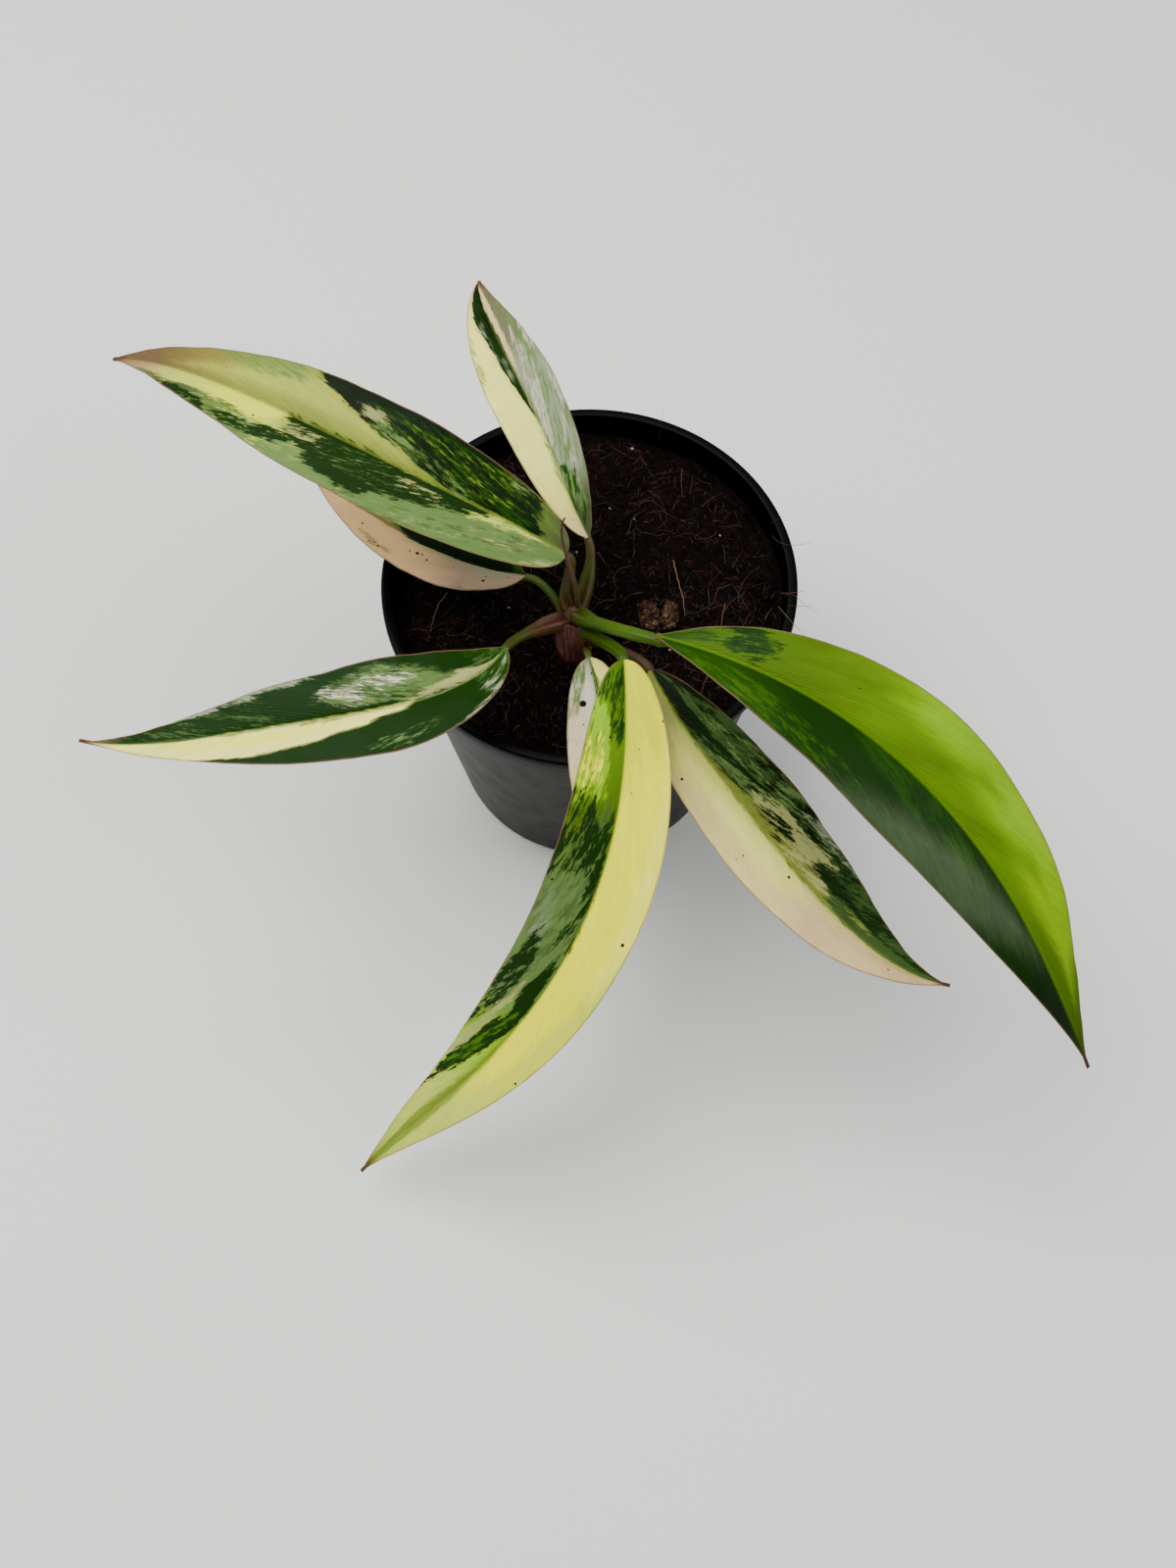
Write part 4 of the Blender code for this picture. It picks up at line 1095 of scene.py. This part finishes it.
def make_bract():
    """The dry papery sheath in front of the stem: pleated, bulging, pointed above, frayed and rusty below."""
    rows, columns = 80, 110
    rise, share = np.meshgrid(np.linspace(0, 1, rows), np.linspace(0, 1, columns), indexing="ij")
    angle = BRACT_FROM + (BRACT_TO - BRACT_FROM) * share
    off_middle = np.abs(2 * share - 1)
    bulge = BRACT_BULGE * np.sin(math.pi * rise ** 0.8) + 0.25 * (1 - rise) + 0.5 * rise
    pleats = 0.05 * np.sin(share * 44 + rise * 3) + 0.03 * np.sin(share * 97 - rise * 5)
    fray = 0.35 * np.sin(9 * share + 0.6) + 0.2 * np.sin(47 * share) + 0.12 * np.sin(131 * share)
    ends = np.abs(2 * rise - 1) ** 5
    foot = BRACT_FOOT + BRACT_ROUND * off_middle ** 2
    top = BRACT_TOP - BRACT_POINT * off_middle ** 1.4
    z = foot + (top - foot) * rise + fray * ends
    sides = []
    for thick in (BRACT_THICKNESS, 0.0):
        radius = STEM_RADIUS + 0.4 + thick + bulge + pleats
        sides.append(np.stack([STEM[0] + radius * np.cos(angle), STEM[1] + radius * np.sin(angle), z], 2))
    points = np.concatenate([side.reshape(-1, 3) for side in sides]) * MM
    attributes = {"rise": np.concatenate([rise, rise]), "share": np.concatenate([share, share])}
    skin = Skin("bract_skin", Specular_IOR_Level=0.6)
    rise, share = skin.number("rise"), skin.number("share")
    fibre = skin.noise(1.4, detail=4, where=skin.vector(share * 30, rise * 2.5, 1))
    fuzz = skin.noise(900, detail=4)
    # Pale fibre streaks: partly the bract's own paler fibres, partly painted sheen, their tone lifted to
    # stand in for its glossy highlight
    colour = skin.mix(fibre.smooth(0.44, 0.78), tone("bract"), tone("bract_pale_and_sheen"))
    colour = skin.mix((rise + (fibre - 0.5) * 0.3).smooth(0.7, 1.0) * 0.6, colour, tone("ring"))
    rusty = rise + share * 0.12 + (fuzz - 0.5) * 0.4
    colour = skin.mix(rusty.smooth(0.34, 0.08), colour, tone("bract_rust"))
    colour = skin.times(colour, 0.62 + fibre * 0.45 + fuzz * 0.3)
    material = skin.paint(colour, 0.24 + fibre * 0.12 + fuzz * 0.1, fibre + fuzz * 0.2, depth=0.08 * MM)
    add_mesh("papery_bract", points, sheet_faces(rows, columns), material, attributes,
             nodes=("dry_bract",))


def soil_height(x, y):
    """The uneven surface of the soil as the solid has it, in metres."""
    a, b = x / MM, y / MM
    relief = 0.9 * math.sin(a / 7.3 + 1.1) * math.cos(b / 8.9 - 0.4)
    relief += 0.7 * math.sin(a / 3.7 - b / 5.1 + 2.0) + 0.5 * math.cos(a / 4.9 + b / 2.9)
    for chip in CHIPS:
        away = math.hypot(a - chip["x"], b - chip["y"])
        relief *= 1 - math.exp(-(away / 9) ** 2)
    from_stem = math.hypot(a - STEM[0], b - STEM[1])
    relief *= 1 - math.exp(-(from_stem / 7) ** 2)
    return SOIL_LEVEL + relief * MM


def soil_surface(x, y):
    """The fine soil surface: the solid's height with lumps and crumbs on it."""
    here = Vector((x, y, 0)) / MM
    lumps = noise.noise(here / 3.2) * 0.7 + noise.noise(here / 1.3) * 0.45 + noise.noise(here / 0.6) * 0.22
    edge = math.hypot(x, y) / SOIL_RADIUS
    return soil_height(x, y) + (lumps - 0.2) * MM - 0.6 * MM * max(0, edge - 0.9) * 10


def soil_skin(name, light=1.0):
    """Moist dark peat with brown crumbs. light above 1 makes it paler."""
    skin = Skin(name, Specular_IOR_Level=0.08)
    coarse = skin.noise(300, detail=6, rough=0.72)
    fine = skin.noise(1500, detail=3)
    colour = skin.mix(coarse.smooth(0.45, 0.68), tone("peat"), tone("peat_brown"))
    colour = skin.mix(fine.smooth(0.57, 0.7) * 0.8, colour, tone("peat_tan"))
    colour = skin.times(colour, light)
    return skin.paint(colour, 0.75 + fine * 0.2, coarse + fine * 0.5, depth=0.6 * MM)


def make_soil():
    """The top of the soil as a fine rough surface that closes down to the pot's floor."""
    skirt = (
        (SOIL_RADIUS - 0.1 * MM, LEDGE_HEIGHT + LEDGE_RISE + 0.2 * MM),
        (WALL_TOP_RADIUS - WALL - 0.4 * MM, LEDGE_HEIGHT),
        (FOOT_RADIUS - WALL, FLOOR + 0.3 * MM),
    )
    segments = SOIL_SEGMENTS
    points = [(0, 0, soil_surface(0, 0))]
    for i in range(1, SOIL_RINGS + 1):
        radius = SOIL_RADIUS * (i / SOIL_RINGS) ** 0.8
        for k in range(segments):
            x, y = polar(radius, math.tau * k / segments)
            points.append((x, y, soil_surface(x, y)))
    for radius, height in skirt:
        for k in range(segments):
            points.append((*polar(radius, math.tau * k / segments), height))
    rings = SOIL_RINGS + len(skirt)
    faces = [(0, 1 + k, 1 + (k + 1) % segments) for k in range(segments)]
    faces += [tuple(reversed(face)) for face in grid_faces(rings, segments, closed=True, start=1)]
    last = 1 + (rings - 1) * segments
    faces.append(tuple(reversed(range(last, last + segments))))
    add_mesh("potting_soil", points, faces, soil_skin("soil_skin"), nodes=("soil",))


def ball(subdivisions):
    """Points and faces of a unit icosphere."""
    shape = bmesh.new()
    bmesh.ops.create_icosphere(shape, subdivisions=subdivisions, radius=1)
    points = np.array([v.co[:] for v in shape.verts])
    faces = [tuple(v.index for v in f.verts) for f in shape.faces]
    shape.free()
    return points, faces


def scatter(name, count, sizes, subdivisions, skin, seed, flat=0.7, sink=0.3):
    """Many small rough lumps on the soil, in one mesh. sizes are the smallest and largest radius in mm.

    flat is the greatest height as a share of the radius, and sink the share that is in the soil.
    """
    rng = np.random.default_rng(seed)
    base, base_faces = ball(subdivisions)
    points, faces = [], []
    while len(faces) < count * len(base_faces):
        radius = (SOIL_RADIUS - 0.8 * MM) * math.sqrt(rng.random())
        angle = rng.uniform(0, math.tau)
        x, y = polar(radius, angle)
        if math.hypot(x - STEM[0] * MM, y - STEM[1] * MM) < CLEAR_OF_STEM:
            continue
        size = rng.uniform(*sizes) * MM * rng.uniform(0.6, 1.0)
        shape = size * np.array([1, rng.uniform(0.5, 0.9), rng.uniform(0.4, flat)])
        rough = 1 + rng.uniform(-0.28, 0.28, len(base))
        turn = rng.uniform(0, math.tau)
        lump = base * rough[:, None] * shape
        lump = np.stack([*spun(lump[:, 0], lump[:, 1], turn), lump[:, 2]], 1)
        start = len(points)
        points.extend((lump + (x, y, soil_surface(x, y) + shape[2] * (1 - 2 * sink))).tolist())
        faces.extend(tuple(p + start for p in face) for face in base_faces)
    add_mesh(name, points, faces, skin)


def soil_line(places, rng):
    """A fibre's path over the soil through places in mm, with a slight waver, highest in its middle."""
    places = np.array(places, float)
    count = 6 * len(places)
    at = np.linspace(0, len(places) - 1, count)
    path = []
    for k in range(count):
        x = np.interp(at[k], range(len(places)), places[:, 0]) + rng.uniform(-0.12, 0.12)
        y = np.interp(at[k], range(len(places)), places[:, 1]) + rng.uniform(-0.12, 0.12)
        high = 0.3 + 0.9 * math.sin(math.pi * k / (count - 1))
        path.append((x * MM, y * MM, soil_surface(x * MM, y * MM) + high * MM))
    return path


def stray_fibre(rng):
    """A short curl of coir at a random place on the soil."""
    radius = (SOIL_RADIUS - 3 * MM) * math.sqrt(rng.random())
    angle, heading = rng.uniform(0, math.tau, 2)
    x, y = polar(radius, angle)
    length = rng.choice([rng.uniform(1.2, 4), rng.uniform(4, 12)], p=[0.84, 0.16]) * MM
    steps = 4 if length < 4 * MM else 12
    curl = rng.uniform(-1, 1) * 200
    path = []
    for i in range(steps):
        heading += curl * length / steps + rng.uniform(-0.2, 0.2)
        x += math.cos(heading) * length / steps
        y += math.sin(heading) * length / steps
        if math.hypot(x, y) > SOIL_RADIUS - 1 * MM:
            break
        high = (0.15 + 0.5 * math.sin(math.pi * i / (steps - 1)) * rng.uniform(0.2, 1)) * MM
        path.append((x, y, soil_surface(x, y) + high))
    return path


def make_fibres():
    """Coir: a few long fibres that stand out, very many short dark ones, and some over the rim."""
    rng = np.random.default_rng(21)
    points, faces, hue = [], [], []

    def lay(path, thick, shade):
        """Adds one fibre, thinner towards its end."""
        if len(path) < 3:
            return
        radii = thick * (1 - 0.6 * np.linspace(0, 1, len(path)) ** 2)
        corners, quads = tube(path, radii, FIBRE_SIDES)
        start = len(points)
        points.extend(corners)
        faces.extend(tuple(p + start for p in face) for face in quads)
        hue.extend([shade] * len(corners))

    for line, thick, shade in LONG_FIBRES:
        lay(soil_line(line, rng), thick * MM, shade)
    for _ in range(SHORT_FIBRES):
        lay(stray_fibre(rng), rng.uniform(*SHORT_FIBRE_RADII) * MM, rng.random() ** 2.2 * 0.8)
    for line, thick, shade in RIM_FIBRES:
        lay(smooth_path(np.array(line) * MM, 24), thick * MM, shade)
    skin = Skin("fibre_skin")
    colour = skin.ramp(skin.number("hue"), "fibre_dark fibre_red fibre_red fibre_tan")
    grain = skin.noise(1500, detail=2)
    material = skin.paint(skin.times(colour, 0.5 + grain), 0.6 + grain * 0.2, grain, depth=0.05 * MM)
    add_mesh("coir_fibres", points, faces, material, {"hue": hue})


def make_chips():
    """Two crumbly angular lumps of coconut husk."""
    base, faces = ball(subdivisions=5)
    skin = Skin("husk_skin", Specular_IOR_Level=0.12)
    coarse = skin.noise(380, detail=7, rough=0.75)
    pith = skin.cells(1100)
    colour = skin.mix(coarse.smooth(0.42, 0.54), tone("husk_dark"), tone("husk"))
    pale = pith.smooth(0.5, 0.2) * coarse.smooth(0.5, 0.58)
    colour = skin.mix(pale, colour, tone("husk_pale"))
    material = skin.paint(colour, 0.8 + coarse * 0.15, coarse - pith * 0.5, depth=0.5 * MM)
    for chip in CHIPS:
        size = np.array(chip["size"])
        turn = math.radians(chip["turn"])
        points = []
        for p in base:
            squared = np.sign(p) * np.abs(p) ** 0.62
            here = Vector(p) * 2 + Vector((chip["seed"], 0, 0))
            rough = 0.94 + 0.2 * noise.noise(here) + 0.2 * noise.noise(here * 3)
            rough += 0.16 * noise.noise(here * 7) + 0.1 * noise.noise(here * 17)
            x, y, z = squared * rough * size * 0.5
            x, y = spun(x, y, turn)
            points.append((chip["x"] + x, chip["y"] + y, max(z, -0.3 * size[2])))
        points = np.array(points) * MM
        points[:, 2] += soil_height(chip["x"] * MM, chip["y"] * MM) + (0.3 + 0.3 * size[2]) * MM
        add_mesh("coconut_" + chip["name"], points, faces, material, nodes=(chip["name"],))


def pot_outline():
    """The pot's section: from the middle of its underside up the outside, over the rim and down inside."""
    bead_foot = POT_HEIGHT - RIM_DROP
    inner_wall = WALL_TOP_RADIUS - WALL
    outline = [(0, 0)]
    outline += arc((FOOT_RADIUS - FOOT_ROUND, FOOT_ROUND), FOOT_ROUND, -90, -6, 7)
    outline.append((WALL_TOP_RADIUS - 0.1 * MM, LEDGE_HEIGHT - 0.6 * MM))
    outline.append((WALL_TOP_RADIUS + 0.3 * MM, LEDGE_HEIGHT + 0.2 * MM))
    outline.append((COLLAR_RADIUS - 0.6 * MM, LEDGE_HEIGHT + 1.3 * MM))
    outline.append((COLLAR_RADIUS - 0.2 * MM, LEDGE_HEIGHT + 2 * MM))
    outline.append((COLLAR_RADIUS, bead_foot - 0.6 * MM))
    outline += arc((RIM_RADIUS - BEAD_ROUND, bead_foot + 0.5 * MM), BEAD_ROUND, -80, 0, 5)
    outline += arc((RIM_RADIUS - RIM_ROUND, POT_HEIGHT - RIM_ROUND), RIM_ROUND, 4, 90, 9)
    outline += arc((RIM_INNER_RADIUS + BEAD_ROUND, POT_HEIGHT - BEAD_ROUND), BEAD_ROUND, 95, 180, 6)
    outline += [(COLLAR_RADIUS - WALL, LEDGE_HEIGHT + LEDGE_RISE), (inner_wall, LEDGE_HEIGHT)]
    outline += [(FOOT_RADIUS - WALL, FLOOR + 1 * MM), (FOOT_RADIUS - WALL - 1 * MM, FLOOR), (0, FLOOR)]
    return outline


def make_pot():
    """The finely turned pot, with its drain holes cut through the floor."""
    points, faces = turned(pot_outline(), POT_SEGMENTS)
    skin = Skin("pot_plastic", Specular_IOR_Level=0.08)
    scuff = skin.noise(120, detail=6, rough=0.6)
    grain = skin.noise(2200, detail=2)
    height = skin.parts(skin.place())[2]
    rings = (height * (math.tau / MOULD_RING_GAP)).sine()
    colour = skin.mix(scuff.smooth(0.4, 0.7), tone("plastic"), tone("plastic_grey"))
    dust = skin.noise(700, detail=4, rough=0.7).smooth(0.62, 0.72)
    dusty = dust * (height / MM).smooth(86, 99)
    colour = skin.mix(dusty * 0.5, colour, tone("plastic_dust"))
    rough = 0.3 + scuff * 0.2 + grain * 0.08
    material = skin.paint(colour, rough, grain + rings * 0.2, depth=0.03 * MM, strength=0.6)
    pot = add_mesh("nursery_pot", points, faces, material, nodes=("pot",))
    shape = bmesh.new()
    for k in range(DRAIN_COUNT):
        angle = math.tau * (k + 0.5) / DRAIN_COUNT
        hole = bmesh.ops.create_cone(
            shape, cap_ends=True, segments=40, radius1=DRAIN_RADIUS, radius2=DRAIN_RADIUS, depth=4 * FLOOR)
        bmesh.ops.translate(shape, verts=hole["verts"], vec=(*polar(DRAIN_CIRCLE, angle), FLOOR / 2))
    mesh = bpy.data.meshes.new("drain_holes")
    shape.to_mesh(mesh)
    shape.free()
    cutter = put("drain_holes", mesh)
    boolean = pot.modifiers.new("drain_holes", "BOOLEAN")
    boolean.object = cutter
    cut = bpy.data.meshes.new_from_object(pot.evaluated_get(bpy.context.evaluated_depsgraph_get()))
    pot.modifiers.clear()
    pot.data = cut
    bpy.data.objects.remove(cutter)


def make_plant():
    """Eight leaves, the next one still rolled, and the stem in its dry sheath."""
    for seed, (name, leaf) in enumerate(LEAVES.items()):
        make_blade(name, leaf, MARKINGS[name], seed)
        make_petiole(name, leaf, seed)
    make_spear()
    make_stem()
    make_bract()


def perlite_skin():
    """Dull chalky white."""
    skin = Skin("perlite_skin")
    grain = skin.noise(1200, detail=3)
    return skin.paint(skin.times(tone("perlite"), 0.6 + grain * 0.7), 0.8 + grain * 0.1, grain)


def make_filling():
    """The soil and all that lies loose on it."""
    make_soil()
    crumb_skin = soil_skin("crumb_skin", light=1.3)
    scatter("soil_crumbs_large", count=420, sizes=(0.6, 1.5), subdivisions=2, skin=crumb_skin, seed=5)
    crumb_skin = soil_skin("fine_crumb_skin", light=1.6)
    scatter("soil_crumbs_small", count=1900, sizes=(0.25, 0.8), subdivisions=1, skin=crumb_skin, seed=6)
    scatter("perlite_specks", count=16, sizes=(0.3, 0.65), subdivisions=2, skin=perlite_skin(), seed=9,
            flat=0.9, sink=0.1)
    make_fibres()
    make_chips()


def make_stage():
    """A plain pale floor, soft light from above and the photograph's camera."""
    half = FLOOR_HALF_WIDTH
    mesh = bpy.data.meshes.new("floor")
    mesh.from_pydata([(-half, -half, 0), (half, -half, 0), (half, half, 0), (-half, half, 0)], [], [range(4)])
    floor = put("floor", mesh)
    mesh.materials.append(Skin("floor_skin").paint(tone("floor"), 0.7))

    world = bpy.data.worlds.new("studio")
    world.use_nodes = True
    background = world.node_tree.nodes["Background"]
    background.inputs["Color"].default_value = SKY_COLOUR
    background.inputs["Strength"].default_value = SKY_STRENGTH
    bpy.context.scene.world = world

    for name, lamp in LAMPS.items():
        data = bpy.data.lights.new(name, "AREA")
        data.size = lamp["size"]
        data.energy = lamp["power"]
        data.color = lamp["colour"]
        light = put(name, data)
        light.location = lamp["place"]
        aim = Vector(LAMP_AIM) - Vector(lamp["place"])
        light.rotation_euler = aim.to_track_quat("-Z", "Y").to_euler()

    lens = bpy.data.cameras.new("camera")
    lens.lens = CAMERA_LENS
    lens.sensor_width = CAMERA_SENSOR
    camera = put("camera", lens)
    camera.location = CAMERA_PLACE
    camera.rotation_euler = (math.pi / 2 - CAMERA_DOWN, 0, 0)
    bpy.context.scene.camera = camera


def main():
    make_pot()
    make_filling()
    make_plant()
    make_stage()


main()
